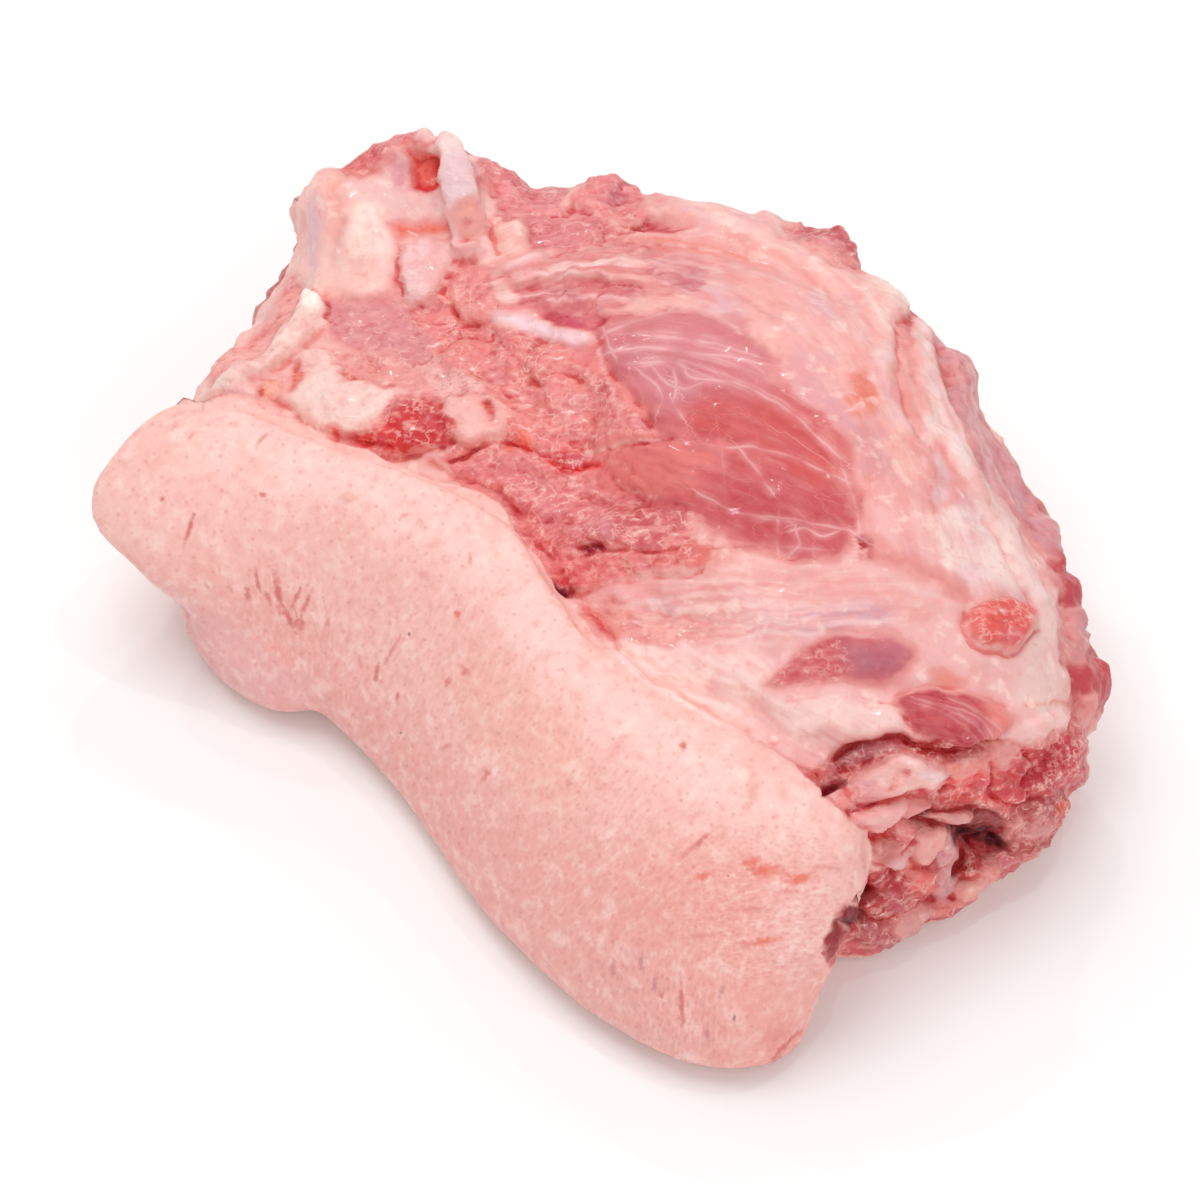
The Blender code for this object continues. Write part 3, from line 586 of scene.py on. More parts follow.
# Families of soft streaks of colour: name, colour, strength, width in millimetres, how many, two paths.
STREAK_FAMILIES = (
    ("dome_pink", (232, 142, 136), 0.3, 1.6, 9, ((660, 218), (740, 236), (810, 280), (858, 350), (880, 440)),
        ((780, 222), (850, 262), (905, 325), (950, 420), (985, 510))),
    ("dome_white", (254, 222, 212), 0.35, 1.6, 9, ((660, 214), (740, 232), (810, 276), (858, 346),
        (880, 436)), ((780, 218), (850, 258), (905, 320), (950, 416), (985, 506))),
    ("upper_white", (249, 212, 207), 0.75, 0.9, 10, ((474, 282), (530, 256), (600, 240), (660, 232),
        (720, 238)), ((520, 302), (580, 296), (640, 300), (700, 312), (760, 345))),
    ("upper_red", (198, 82, 90), 0.6, 1.0, 8, ((490, 280), (540, 258), (600, 244), (660, 236), (720, 242)),
        ((520, 300), (580, 292), (640, 296), (700, 308), (750, 338))),
    ("low_pink", (232, 148, 146), 0.45, 1.1, 9, ((570, 600), (640, 588), (720, 582), (800, 580), (870, 572)),
        ((640, 645), (700, 640), (780, 632), (860, 625), (940, 622))),
    ("low_white", (254, 228, 220), 0.5, 1.1, 9, ((570, 598), (640, 586), (720, 580), (800, 578), (870, 570)),
        ((640, 650), (700, 646), (780, 638), (860, 632), (940, 630))),
    ("cream_white", (255, 234, 224), 0.5, 1.4, 6, ((600, 636), (660, 658), (720, 672), (780, 684)),
        ((640, 690), (690, 722), (740, 745), (800, 765))),
    ("cream_salmon", (240, 178, 164), 0.4, 1.2, 5, ((600, 640), (660, 662), (720, 676), (780, 690)),
        ((640, 686), (690, 718), (740, 742), (800, 762))),
    ("masseter_dark", (184, 72, 80), 0.25, 1.4, 12, ((600, 334), (660, 344), (730, 364), (780, 394),
        (840, 446)), ((640, 490), (700, 512), (760, 532), (820, 546), (850, 552))),
    ("masseter_pale", (226, 146, 148), 0.2, 1.6, 8, ((600, 334), (660, 344), (730, 364), (780, 394),
        (840, 446)), ((640, 470), (700, 490), (760, 510), (820, 530), (850, 540))),
    ("rim_white", (253, 226, 216), 0.3, 1.0, 5, ((880, 300), (920, 400), (950, 470), (1000, 560)),
        ((935, 310), (975, 390), (1010, 470), (1055, 570))),
    ("rim_red", (222, 128, 120), 0.3, 0.8, 5, ((880, 300), (920, 400), (950, 470), (1000, 560)), ((940, 310),
        (980, 390), (1014, 470), (1060, 570))),
)

# Thin streaks of lean through the fat: name, colour, width in millimetres, path.
STREAKS = (
    ("pink_streak_one", (236, 175, 172), 0.7, ((563, 598), (610, 592), (672, 590))),
    ("pink_streak_two", (238, 180, 178), 0.8, ((713, 590), (780, 600), (850, 590), (880, 580))),
    ("pink_streak_three", (236, 170, 168), 0.6, ((720, 602), (790, 612), (860, 602))),
    ("orange_streak_one", (236, 132, 116), 0.9, ((647, 236), (690, 246), (747, 262))),
    ("orange_streak_two", (236, 140, 124), 0.7, ((660, 250), (710, 258), (735, 275))),
    ("orange_streak_three", (226, 122, 106), 0.8, ((336, 372), (352, 377), (368, 380))),
    ("wall_salmon_line", (226, 128, 118), 0.8, ((847, 814), (893, 801), (927, 801))),
    ("tongue_line", (228, 122, 98), 0.5, ((1027, 706), (1046, 703), (1064, 702))),
    # Painted highlights: pale lines on the crest of a crease and along a fold's edge.
    ("dashed_line", (252, 228, 218), 0.35, ((585, 451), (613, 446), (640, 440), (662, 441))),
    ("fold_light", (250, 206, 196), 0.5, ((620, 478), (625, 490), (640, 494), (656, 495))),
    ("puncture_light", (254, 228, 222), 0.5, ((856, 540), (857, 550), (859, 559))),
    ("bump_white", (253, 226, 214), 0.6, ((676, 549), (690, 540), (706, 541))),
    ("veil_light", (246, 206, 202), 0.5, ((600, 350), (602, 372), (612, 392), (618, 410))),
    ("dome_slit", (212, 120, 118), 0.5, ((927, 447), (935, 472), (931, 497), (933, 517))),
)

# How far an area stands proud of what is round it, in millimetres. Below nothing it is a hollow.
HEIGHTS = by_name(
    (-5.0, "wall_hole"),
    (-2.8, "corner_hollow"),
    (-2.0, "recess block_slit"),
    (-1.6, "slit_two red_pocket dark_low"),
    (-1.5, "wall_slit wall_brown_low"),
    (-1.4, "far_lobe_hollow"),
    (-1.2, "deep_pocket"),
    (-1.0, "red_slit under_rind"),
    (-0.8, "gland_deep top_red_groove granular_deep wall_red_back wall_brown puncture"),
    (-0.5, "cluster_dark"),
    (-0.4, "wall_grey"),
    (0.4, "wall_band"),
    (0.5, "patch_a lilac_cleft"),
    (0.6, "low_cream streak_one streak_two rim_highlight wall_white wall_pale wall_lilac bottom_strip"),
    (0.8, "gland bump_rim right_dark_lobe lilac_band far_ridge granular_lower ledge_fat top_red_rim "
          "wall_mauve right_mid_white right_mid_streak block_light curl_pale mauve_low wall_foot "
          "rim_pale_one rim_pale_two"),
    (0.9, "patch_b cream_band"),
    (1.0, "far_lobe low_left_fat granular_upper wall_knob flap_red grey_nodules grey_wedge "
          "wall_bottom"),
    (1.2, "lobe_three flap_edge pink_lobe bottom_pale rim_nodule"),
    (1.3, "wall_block"),
    (1.4, "tongue wall_right_mid lobe_pale_pink"),
    (1.6, "ledge_cream fat_flap salmon_bump wall_cluster"),
    (1.8, "cream_nodule lilac_nodule cream_lobe"),
    (2.0, "wall_fat lobe_two"),
    (2.4, "node strap wall_curl"),
)

# How softly an area ends, in millimetres, where that isn't the usual.
SOFTNESS = by_name(
    (0.7, "salmon_band"),
    (0.8, "ridge_lilac rim_lean_one streak_one streak_two wall_hole"),
    (0.9, "rim_lean_two"),
    (1.0, "dome_orange_two fat_flap patch_a wall_fat corner_fat recess wall_mauve orange_notch "
          "ledge_orange_one ledge_orange_three"),
    (1.2, "corner_lobe lilac_nodule wall_brown wall_lilac under_rind lilac_cleft top_red_groove "
          "wall_pale lobe_pale_pink wall_grey ledge_orange_two deep_pocket"),
    (1.5, "upper_window upper_left_band far_lobe_hollow membrane_window strap_lilac wall_bottom "
          "wall_right_mid wall_brown_low far_rim centre_field wall_white wall_lilac_spot block_light "
          "right_mid_low pink_band"),
    (1.8, "dome_orange corner_hollow low_salmon"),
    (2.0, "lower_band dome_foot_cream dome_salmon ledge_marble pink_tail patch_orange patch_b_rim "
          "low_left_fat node_side_fat cluster_dark"),
    (2.2, "strap_fork"),
    (2.5, "masseter dome_cream dome_grey dome_mauve_two dome_foot pale_top membrane red_lilac_patch "
          "salmon_marble gland_deep low_cream corner_salmon corner_white corner_lilac"),
    (3.0, "masseter_near dome_pale dome_mauve dome_lilac white_fat node_streak granular_deep "
          "patch_a_right"),
    (3.5, "low_lilac"),
    (4.0, "right_dome masseter_low masseter_top masseter_veil"),
    (5.0, "masseter_deep masseter_second dome_bright"),
)

# How far an area's edge strays from its outline, as a share of the whole wander, where that isn't the usual.
STRAYING = by_name(
    (0.25, "ridge_gap"),
    (0.3, "wall_hole wall_curl lobe_two lobe_three grey_wedge pink_lobe slit_two wall_slit cream_lobe "
          "curl_pale block_slit far_ridge salmon_band lilac_band"),
    (0.35, "node strap wall_fat lobe_pale_pink bottom_pale rim_lean_one rim_lean_two"),
    (0.4, "patch_a strap_lilac corner_hollow red_slit recess tongue wall_mauve wall_salmon wall_white "
          "dark_low cream_band orange_notch strap_fork membrane_window lilac_cleft deep_pocket "
          "streak_one streak_two corner_lobe"),
    (0.45, "patch_b"),
    (0.5, "cream_nodule corner_fat fat_flap gland gland_deep ledge_cream salmon_bump far_lobe "
          "top_red_rim"),
    (0.9, "lilac_nodule"),
)

# Broad swellings and dips that only the slab's edges show: name, height and softness in millimetres, outline.
SWELLS = (
    ("far_rim_out", 3.4, 3.0, ((1058, 580), (1100, 580), (1150, 640), (1150, 760), (1090, 800), (1066, 780),
        (1078, 720), (1068, 640))),
    ("rim_one_out", 1.0, 3.0, ((850, 225), (900, 250), (1000, 380), (990, 404), (940, 340), (880, 300))),
    ("rim_bulge", 3.4, 3.0, ((905, 285), (960, 290), (1000, 350), (1000, 390), (960, 390), (930, 340))),
    ("rim_two_in", -3.0, 3.0, ((985, 405), (1020, 400), (1060, 470), (1060, 515), (1030, 515), (990, 440))),
    ("corner_out", 1.6, 2.0, ((365, 116), (436, 116), (436, 150), (380, 162), (366, 146))),
    ("strap_in", -1.4, 2.0, ((446, 116), (490, 140), (480, 170), (452, 150))),
    ("top_out_one", 1.4, 2.0, ((500, 152), (560, 170), (562, 195), (505, 188))),
    ("top_out_two", 2.2, 2.5, ((650, 180), (700, 186), (770, 204), (775, 230), (650, 212))),
    ("dome_top_in", -1.6, 2.5, ((778, 206), (824, 212), (824, 236), (780, 236))),
    ("dome_top_out", 1.8, 2.5, ((826, 220), (872, 236), (872, 262), (826, 248))),
    ("left_in", -3.4, 4.0, ((230, 350), (230, 300), (270, 240), (270, 160), (312, 160), (306, 290),
        (262, 350))),
    ("left_out", 1.6, 3.0, ((180, 350), (240, 345), (250, 395), (175, 410))),
)

# Clefts and creases: name, depth and half width in millimetres, path.
CLEFTS = (
    ("upper_cleft", 1.3, 1.0, ((442, 290), (455, 315), (476, 327), (505, 348), (526, 373), (538, 386))),
    ("curl_under", 1.3, 0.8, ((442, 348), (452, 342), (470, 339), (488, 341))),
    ("curl_over", 1.2, 0.8, ((448, 330), (462, 322), (480, 322), (492, 332))),
    ("lobe_fold", 1.4, 0.9, ((517, 332), (532, 334), (543, 341), (536, 350), (524, 357))),
    ("lobe_fold_two", 1.1, 0.9, ((530, 384), (546, 373), (566, 374), (580, 381))),
    ("lobe_fold_three", 1.0, 0.8, ((484, 404), (500, 412), (512, 428))),
    ("centre_fold", 1.0, 0.9, ((470, 372), (490, 380), (505, 396), (514, 410))),
    ("granular_rim", 0.9, 1.0, ((605, 369), (614, 386), (619, 400), (634, 414), (648, 424))),
    ("slit_tail", 1.0, 0.8, ((505, 438), (526, 450), (548, 461), (580, 463), (600, 460))),
    ("low_fold", 1.0, 1.0, ((500, 500), (520, 512), (545, 520), (575, 522))),
    ("low_fold_two", 0.9, 0.9, ((585, 500), (610, 506), (640, 504), (668, 512))),
    ("pink_fold", 1.3, 1.0, ((566, 556), (600, 552), (640, 548), (676, 546))),
    ("pink_fold_two", 1.0, 0.9, ((575, 592), (620, 582), (664, 576), (700, 572))),
    ("top_fold", 1.2, 1.0, ((600, 242), (618, 228), (645, 221), (688, 222))),
    ("top_fold_two", 1.0, 0.9, ((505, 178), (528, 194), (556, 202), (582, 208))),
    ("top_fold_three", 1.0, 0.9, ((566, 214), (580, 196), (604, 190), (640, 206))),
    ("upper_fold", 0.8, 1.0, ((545, 250), (580, 258), (620, 250), (660, 244))),
    ("upper_fold_two", 0.8, 1.0, ((500, 290), (530, 284), (570, 280), (625, 284))),
    ("nodule_cleft", 0.8, 0.9, ((397, 265), (405, 294), (426, 307), (455, 311))),
    ("middle_crease", 2.2, 0.8, ((451, 461), (476, 448), (505, 440), (530, 446), (560, 455))),
    ("muscle_crease", 0.9, 0.8, ((590, 456), (613, 446), (647, 442), (672, 438))),
    ("deep_crevice", 2.6, 1.3, ((578, 545), (588, 541), (600, 545))),
    ("low_crevice", 2.6, 1.2, ((549, 583), (558, 588), (568, 590))),
    ("muscle_edge", 0.9, 1.2, ((597, 335), (613, 373), (640, 405), (658, 427))),
    ("near_fold", 0.8, 0.9, ((612, 477), (622, 489), (640, 497), (660, 500), (688, 512))),
    ("gland_under", 1.5, 1.1, ((335, 441), (368, 455), (400, 457), (430, 450), (452, 438))),
    ("gland_top", 1.0, 1.0, ((360, 427), (384, 412), (392, 397), (418, 394), (446, 410))),
    ("ledge_crease", 0.9, 1.0, ((306, 281), (330, 302), (325, 327), (300, 353), (272, 373))),
    ("corner_crease", 0.7, 1.3, ((333, 186), (339, 215), (337, 245), (330, 265))),
    ("corner_foot", 1.0, 1.2, ((305, 283), (335, 298), (362, 301), (388, 295), (398, 262))),
    ("strap_left", 1.1, 0.8, ((436, 136), (440, 162), (443, 184), (447, 204), (450, 232), (452, 250))),
    ("strap_right", 1.1, 0.8, ((464, 146), (472, 170), (480, 200), (491, 226), (496, 250))),
    ("rim_gap_one", 1.1, 0.9, ((897, 318), (896, 355), (903, 395), (918, 435))),
    ("rim_gap_two", 1.0, 0.9, ((931, 322), (938, 355), (955, 400), (968, 440), (990, 475), (1015, 515))),
    ("rim_gap_three", 0.9, 0.9, ((985, 522), (1005, 552), (1030, 605))),
    ("cleft_recess", 2.1, 1.2, ((836, 758), (859, 744), (896, 735), (912, 741), (936, 749), (951, 755),
        (972, 752), (984, 744), (1004, 745))),
    ("cleft_fat", 1.6, 0.8, ((824, 796), (840, 785), (858, 802), (880, 803), (904, 797), (934, 793),
        (950, 782))),
    ("cleft_lobes", 2.0, 0.8, ((853, 812), (877, 806), (909, 802), (930, 800))),
    ("cleft_split", 1.3, 0.7, ((910, 804), (906, 814), (895, 824), (884, 834))),
    ("cleft_slit", 2.1, 0.8, ((914, 820), (930, 811), (955, 811), (982, 807))),
    ("cleft_slit_low", 2.1, 0.8, ((916, 820), (934, 826), (952, 833), (966, 836))),
    ("cleft_pocket", 1.8, 0.8, ((869, 836), (884, 835), (894, 826), (914, 822))),
    ("cleft_pink", 1.3, 0.7, ((893, 828), (897, 845), (905, 853), (915, 845), (918, 834))),
    ("cleft_wedge", 1.3, 0.7, ((872, 862), (884, 864), (888, 871), (899, 873), (911, 860), (926, 866),
        (937, 860))),
    ("cleft_block", 2.0, 0.9, ((864, 905), (870, 890), (869, 868))),
    ("cleft_lilac", 1.6, 0.8, ((932, 904), (934, 888), (938, 876), (960, 868), (966, 850))),
    ("cleft_curl", 2.1, 0.8, ((958, 868), (965, 858), (976, 852), (990, 856))),
    ("cleft_cream", 1.8, 0.8, ((955, 900), (957, 884), (962, 876), (976, 877))),
    ("cleft_bottom", 1.8, 0.9, ((862, 914), (880, 921), (902, 914), (922, 903), (952, 898))),
    ("cleft_cluster", 1.6, 0.8, ((993, 764), (992, 785), (1005, 804), (1028, 805), (1052, 796))),
    ("cleft_cluster_two", 1.3, 0.8, ((1022, 752), (1034, 768), (1024, 782), (1030, 797))),
    ("cleft_right_mid", 1.3, 0.8, ((1008, 834), (1018, 820), (1034, 812))),
    ("rim_wall_cleft", 1.6, 1.3, ((1060, 600), (1066, 650), (1078, 705), (1085, 745), (1078, 782))),
    ("salmon_crease", 0.8, 0.8, ((580, 606), (613, 602), (663, 614), (708, 622))),
    ("patch_edge", 0.8, 0.9, ((897, 692), (927, 685), (968, 690), (1006, 707))),
    ("patch_fold", 1.3, 1.0, ((905, 716), (931, 739), (964, 751), (993, 747), (1012, 733))),
    ("node_foot", 1.2, 0.9, ((966, 616), (964, 634), (976, 648), (1000, 654), (1022, 650), (1036, 632))),
    ("lip_crease", 1.4, 1.1, ((262, 391), (317, 428), (402, 450), (438, 468), (500, 492), (532, 533),
        (558, 568), (608, 638), (648, 673), (708, 708), (795, 757), (852, 811))),
)

# The rind: its outline, which runs past the slab's edge wherever the rind turns out of sight.
RIND = (
    (200, 392), (260, 398), (315, 435), (400, 457), (435, 475), (495, 500), (525, 540), (550, 575),
    (600, 645), (640, 680), (700, 715), (790, 765), (850, 820), (868, 835), (871, 858), (867, 883),
    (852, 897), (839, 906), (830, 930), (822, 952), (838, 1010), (825, 1085), (720, 1105), (600, 1085),
    (480, 1005), (340, 800), (290, 730), (180, 650), (60, 575), (50, 470), (110, 400), (185, 370),
)
RIND_COLOUR = (248, 196, 187)

# Soft changes of colour on the rind: name, colour, strength, softness in millimetres, outline.
RIND_TINTS = (
    # Painted light: the rind's top, turned up to the light, is paler.
    ("lit_shoulder", (253, 211, 203), 0.95, 14, ((200, 395), (300, 440), (420, 480), (500, 530), (560, 620),
        (640, 700), (760, 770), (840, 840), (820, 860), (700, 800), (600, 740), (520, 660), (440, 560),
        (300, 500), (180, 460))),
    # Painted shade: the lower half and its lower edge, turned from the light, are darker.
    ("shaded_lower_half", (240, 176, 167), 0.8, 16, ((60, 560), (200, 570), (300, 620), (380, 690), (460, 770),
        (560, 830), (700, 860), (840, 860), (860, 1100), (560, 1100), (300, 800), (60, 640))),
    ("shaded_lower_edge", (236, 186, 187), 0.9, 6, ((60, 545), (190, 590), (250, 648), (310, 690), (370, 752),
        (430, 840), (520, 955), (620, 1035), (700, 1062), (700, 1110), (600, 1110), (400, 900), (60, 620))),
    ("left_end", (247, 200, 190), 0.6, 8, ((80, 480), (140, 440), (200, 400), (230, 430), (170, 500),
        (150, 560), (90, 540))),
    ("far_salmon", (246, 188, 172), 0.6, 9, ((480, 640), (560, 700), (600, 780), (560, 820), (480, 760),
        (440, 690))),
    # Painted shade on the dewlap under the rind's fold, and painted light on its lit lobe.
    ("dewlap", (238, 184, 181), 0.9, 3.0, ((196, 600), (209, 608), (228, 624), (250, 638), (262, 652),
        (300, 668), (300, 700), (240, 690), (190, 640))),
    ("dewlap_lit", (243, 192, 186), 0.7, 3, ((214, 630), (240, 644), (262, 664), (262, 682), (236, 672),
        (216, 650))),
    ("near_salmon", (243, 172, 160), 0.5, 10, ((640, 860), (720, 840), (780, 880), (760, 960), (780, 1020),
        (720, 1040), (680, 960), (620, 920))),
    ("near_pale", (250, 204, 196), 0.6, 9, ((770, 900), (840, 870), (860, 890), (830, 960), (790, 980),
        (760, 940))),
)

# The colour of each kind of mark on the rind.
MARK_COLOURS = {
    "pink": (226, 146, 138),
    "red": (214, 114, 110),
    "orange": (233, 118, 98),
    "mauve": (198, 126, 134),
    "brown": (146, 100, 98),
    "pale": (250, 200, 184),
}

# Marks on the rind: name, kind, strength, half size along and across, angle in degrees, centre.
RIND_MARKS = (
    ("dash_three", "pink", 0.6, (5.6, 2.3), -80, (203, 406)),
    ("dash_two", "pink", 0.8, (9, 2.6), -48, (262, 440)),
    ("fold_twelve", "pink", 0.55, (9, 2.6), 100, (348, 636)),
    ("scratch_one", "red", 0.9, (19, 2.9), 108, (190, 529)),
    ("ring_middle", "pale", 0.9, (7.8, 3.8), -5, (350, 497)),
    ("dash_seven", "red", 0.75, (4.5, 4.1), 70, (464, 672)),
    ("dot_four", "pink", 0.8, (3.6, 5.6), 20, (568, 783)),
    ("low_mauve_four", "mauve", 0.6, (8, 3.4), 70, (708, 1032)),
    ("pink_line", "pink", 0.65, (24, 3.2), 2, (752, 910)),
    ("pink_one", "pink", 0.6, (3, 7), 0, (470, 560)),
    ("fold_three", "red", 0.75, (17.9, 2.6), 112, (296, 598)),
    ("orange_dot", "orange", 0.95, (4, 4.1), 10, (457, 614)),
    ("corner_one", "red", 0.9, (15, 4.2), -48, (779, 1053)),
    ("fold_ten", "pink", 0.6, (5.6, 2.3), 64, (208, 585)),
    ("corner_three", "red", 0.7, (9, 3.2), -40, (797, 1036)),
    ("low_mauve_two", "mauve", 0.65, (9, 3.2), 100, (655, 984)),
    ("dash_one", "pink", 0.7, (6.7, 2.3), -55, (190, 437)),
    ("dash_eight", "red", 0.75, (6.7, 3.5), 110, (448, 682)),
    ("corner_two", "red", 0.7, (10.1, 2.9), -48, (788, 1044)),
    ("long_scratch", "pink", 0.75, (22.4, 2.6), 122, (391, 652)),
    ("pink_line_two", "pink", 0.6, (20, 3), -4, (700, 936)),
    ("orange_tail", "pink", 0.7, (12, 3.4), 6, (744, 944)),
    ("red_patch_three", "orange", 0.85, (15, 5.5), -12, (800, 879)),
    ("dash_six", "red", 0.8, (5.6, 2.9), 95, (397, 698)),
    ("red_patch_two", "orange", 0.9, (20, 8), 6, (764, 870)),
    ("dark_dash", "brown", 0.8, (3.8, 1.9), 100, (734, 1016)),
    ("ring", "pink", 0.8, (11, 5), -5, (350, 498)),
    ("fold_nine", "pink", 0.6, (7.8, 2.3), 70, (232, 589)),
    ("fold_one", "red", 0.9, (21.3, 4.1), 80, (278, 592)),
    ("fold_six", "red", 0.8, (12.3, 2.6), 78, (258, 580)),
    ("dot_one", "red", 0.9, (2.9, 3.2), 0, (163, 499)),
    ("dash_five", "pink", 0.6, (5.6, 3.2), -20, (405, 515)),
    ("dash_four", "pink", 0.6, (5.6, 2.9), -50, (174, 426)),
    ("red_patch_two_top", "orange", 0.75, (12, 5), -20, (752, 862)),
    ("dot_three", "red", 0.95, (4.2, 5.4), 0, (683, 745)),
    ("red_patch_low", "pink", 0.7, (14, 4), 4, (786, 892)),
    ("pink_line_three", "pink", 0.6, (16, 3.4), 8, (830, 868)),
    ("long_scratch_end", "red", 0.8, (11.2, 2.6), 100, (376, 673)),
    ("low_mauve_one", "mauve", 0.6, (10, 3.4), 84, (640, 962)),
    ("fold_four", "red", 0.75, (15.7, 2.9), 110, (306, 604)),
    ("pink_two", "pink", 0.5, (7, 5), 0, (425, 575)),
    ("curl", "pink", 0.6, (9, 2.6), -25, (444, 747)),
    ("dot_five", "red", 0.8, (3.6, 3.5), 30, (661, 995)),
    ("fold_thirteen", "pink", 0.5, (7.8, 2.3), 75, (360, 664)),
    ("low_mauve_five", "mauve", 0.55, (9, 3.2), 92, (612, 968)),
    ("fold_eight", "red", 0.8, (9, 3.5), 88, (248, 594)),
    ("corner_wash", "pink", 0.6, (22, 16), -40, (776, 1036)),
    ("top_pink", "pink", 0.5, (8, 12), 0, (752, 790)),
    ("dash_eleven", "pink", 0.6, (10.1, 2.6), -45, (684, 855)),
    ("orange_streak", "orange", 0.85, (19, 4.2), -9, (766, 941)),
    ("dark_dot_three", "brown", 0.7, (1.8, 1.4), 0, (728, 876)),
    ("fold_seven", "red", 0.8, (7.8, 2.9), 66, (269, 598)),
    ("fold_two", "red", 0.9, (15.7, 3.2), 62, (289, 618)),
    ("fold_eleven", "pink", 0.6, (10.1, 2.9), 98, (329, 619)),
    ("low_mauve_three", "mauve", 0.65, (9, 3.4), 112, (722, 990)),
    ("dash_ten", "red", 0.8, (13.4, 3.8), -42, (700, 842)),
    ("red_patch_one", "orange", 0.85, (11, 5), -16, (704, 876)),
    ("fold_five", "red", 0.7, (11.2, 2.6), 84, (302, 624)),
    ("scratch_two", "red", 0.9, (22.4, 2.8), 88, (682, 1004)),
    ("dark_dot_two", "brown", 0.8, (1.6, 1.7), 0, (400, 733)),
    ("dot_two", "red", 0.8, (4, 3), 0, (264, 495)),
    ("dash_nine", "red", 0.7, (7.8, 3.2), 118, (486, 775)),
    ("dark_dot_one", "brown", 0.8, (1.5, 1.9), 0, (410, 634)),
)

# Marks go on layers in turn, so that near ones don't share a layer. A mark is told this many drawing units
# beyond its rim.
MARK_LAYERS = 5
MARK_MARGIN = 9
# Far out of any mark, at no strength.
NO_MARK = (9, 9, 0)

# The wrinkles have no relief: they are painted shade in their furrows and painted light on their ridges.
# Zones of fine wrinkles on the rind: name, centre, half size along and across, angle, width, strength.
RIND_WRINKLES = (
    ("neck", (290, 620), (90, 60), 80, 4.5, 0.8),
    ("belly", (400, 740), (220, 90), 112, 5.5, 0.55),
    ("near_end", (770, 915), (110, 95), -7, 4.2, 1.0),
    ("middle", (620, 850), (170, 120), 138, 5.0, 0.6),
    ("toe", (690, 1010), (130, 70), 98, 4.5, 0.7),
)

# Zones of short dashes and pits on the rind: name, colour, strength, centre, half size along and across,
# angle, a dash's length and width.
RIND_DASHES = (
    ("low_edge", (212, 146, 150), 0.32, (655, 1000), (140, 60), 38, 95, (13, 6)),
    ("cheek", (228, 152, 144), 0.25, (500, 770), (380, 130), 45, 122, (11, 7)),
    ("near_pits", (224, 144, 134), 0.28, (760, 900), (120, 120), 0, 10, (9, 6)),
)

# Where the lean is crumbly: name, amount, outline.
CRUMBLY = (
    ("centre", 1.0, ((400, 245), (470, 262), (545, 330), (605, 373), (636, 404), (652, 428), (600, 450),
        (596, 472), (625, 500), (690, 514), (700, 560), (560, 600), (500, 510), (440, 452), (330, 440),
        (420, 380), (392, 300))),
    ("gland", 0.6, ((335, 437), (389, 400), (443, 412), (456, 425), (393, 456), (347, 443))),
    ("right_wall", 1.0, ((800, 765), (900, 735), (1000, 740), (1064, 712), (1120, 700), (1120, 800),
        (1060, 870), (985, 910), (900, 960), (820, 960), (871, 883), (868, 835), (830, 800))),
    ("node", 0.8, ((962, 600), (1006, 594), (1040, 606), (1040, 640), (1000, 656), (962, 640))),
    ("patch_a", 0.55, ((768, 690), (797, 650), (850, 634), (855, 690))),
    ("top", 0.7, ((340, 120), (470, 120), (560, 170), (650, 165), (655, 230), (560, 260), (500, 230),
        (440, 200), (345, 180))),
    ("ledge", 0.7, ((280, 270), (335, 296), (430, 330), (430, 400), (340, 440), (200, 400))),
    ("low_salmon", 0.6, ((565, 595), (710, 610), (710, 650), (590, 640))),
    ("far_lobe", 0.8, ((780, 215), (870, 240), (870, 285), (800, 262))),
)

# Where the flesh is lumpy: name, height and size of its lumps in millimetres, outline.
LUMPY = (
    ("right_wall", 0.9, 7.0, ((800, 765), (900, 738), (1000, 745), (1064, 712), (1130, 690), (1130, 800),
        (1060, 880), (985, 920), (900, 970), (820, 965), (871, 883), (868, 835), (830, 800))),
    ("far_rim", 2.2, 8.0, ((1060, 560), (1140, 560), (1140, 780), (1080, 790), (1070, 660))),
    ("top", 1.3, 7.0, ((486, 130), (660, 150), (670, 235), (560, 250), (500, 225), (480, 180))),
    ("centre", 0.5, 8.5, ((400, 250), (480, 270), (560, 340), (640, 380), (660, 440), (700, 510), (700, 570),
        (560, 600), (500, 510), (440, 455), (400, 400), (420, 340))),
    ("ledge", 0.8, 6.0, ((280, 270), (335, 296), (430, 340), (430, 400), (340, 440), (190, 410))),
    ("far_lobe", 1.4, 6.0, ((780, 205), (880, 230), (885, 290), (800, 265))),
    ("ridge_top", 0.5, 7.0, ((840, 255), (900, 260), (960, 330), (1000, 420), (960, 420), (880, 330))),
)

# Where the flesh is smoother than elsewhere: name, share of the relief that stays, outline.
CALM = (
    ("masseter", 0.2, ((600, 318), (640, 309), (750, 325), (835, 415), (866, 520), (850, 556), (700, 545),
        (640, 492), (640, 440), (655, 425), (615, 372))),
    ("dome", 0.25, ((650, 200), (800, 215), (900, 330), (945, 440), (1040, 560), (1060, 700), (1000, 700),
        (900, 600), (860, 540), (850, 450), (770, 360), (690, 310))),
    ("corner", 0.45, ((295, 175), (400, 185), (420, 225), (393, 292), (305, 282))),
    ("low_band", 0.45, ((570, 595), (700, 560), (860, 560), (1010, 600), (1060, 700), (1000, 740), (900, 730),
        (800, 770), (640, 680))),
    ("wet_muscle", 0.6, ((331, 296), (406, 292), (435, 346), (402, 367), (331, 333))),
)

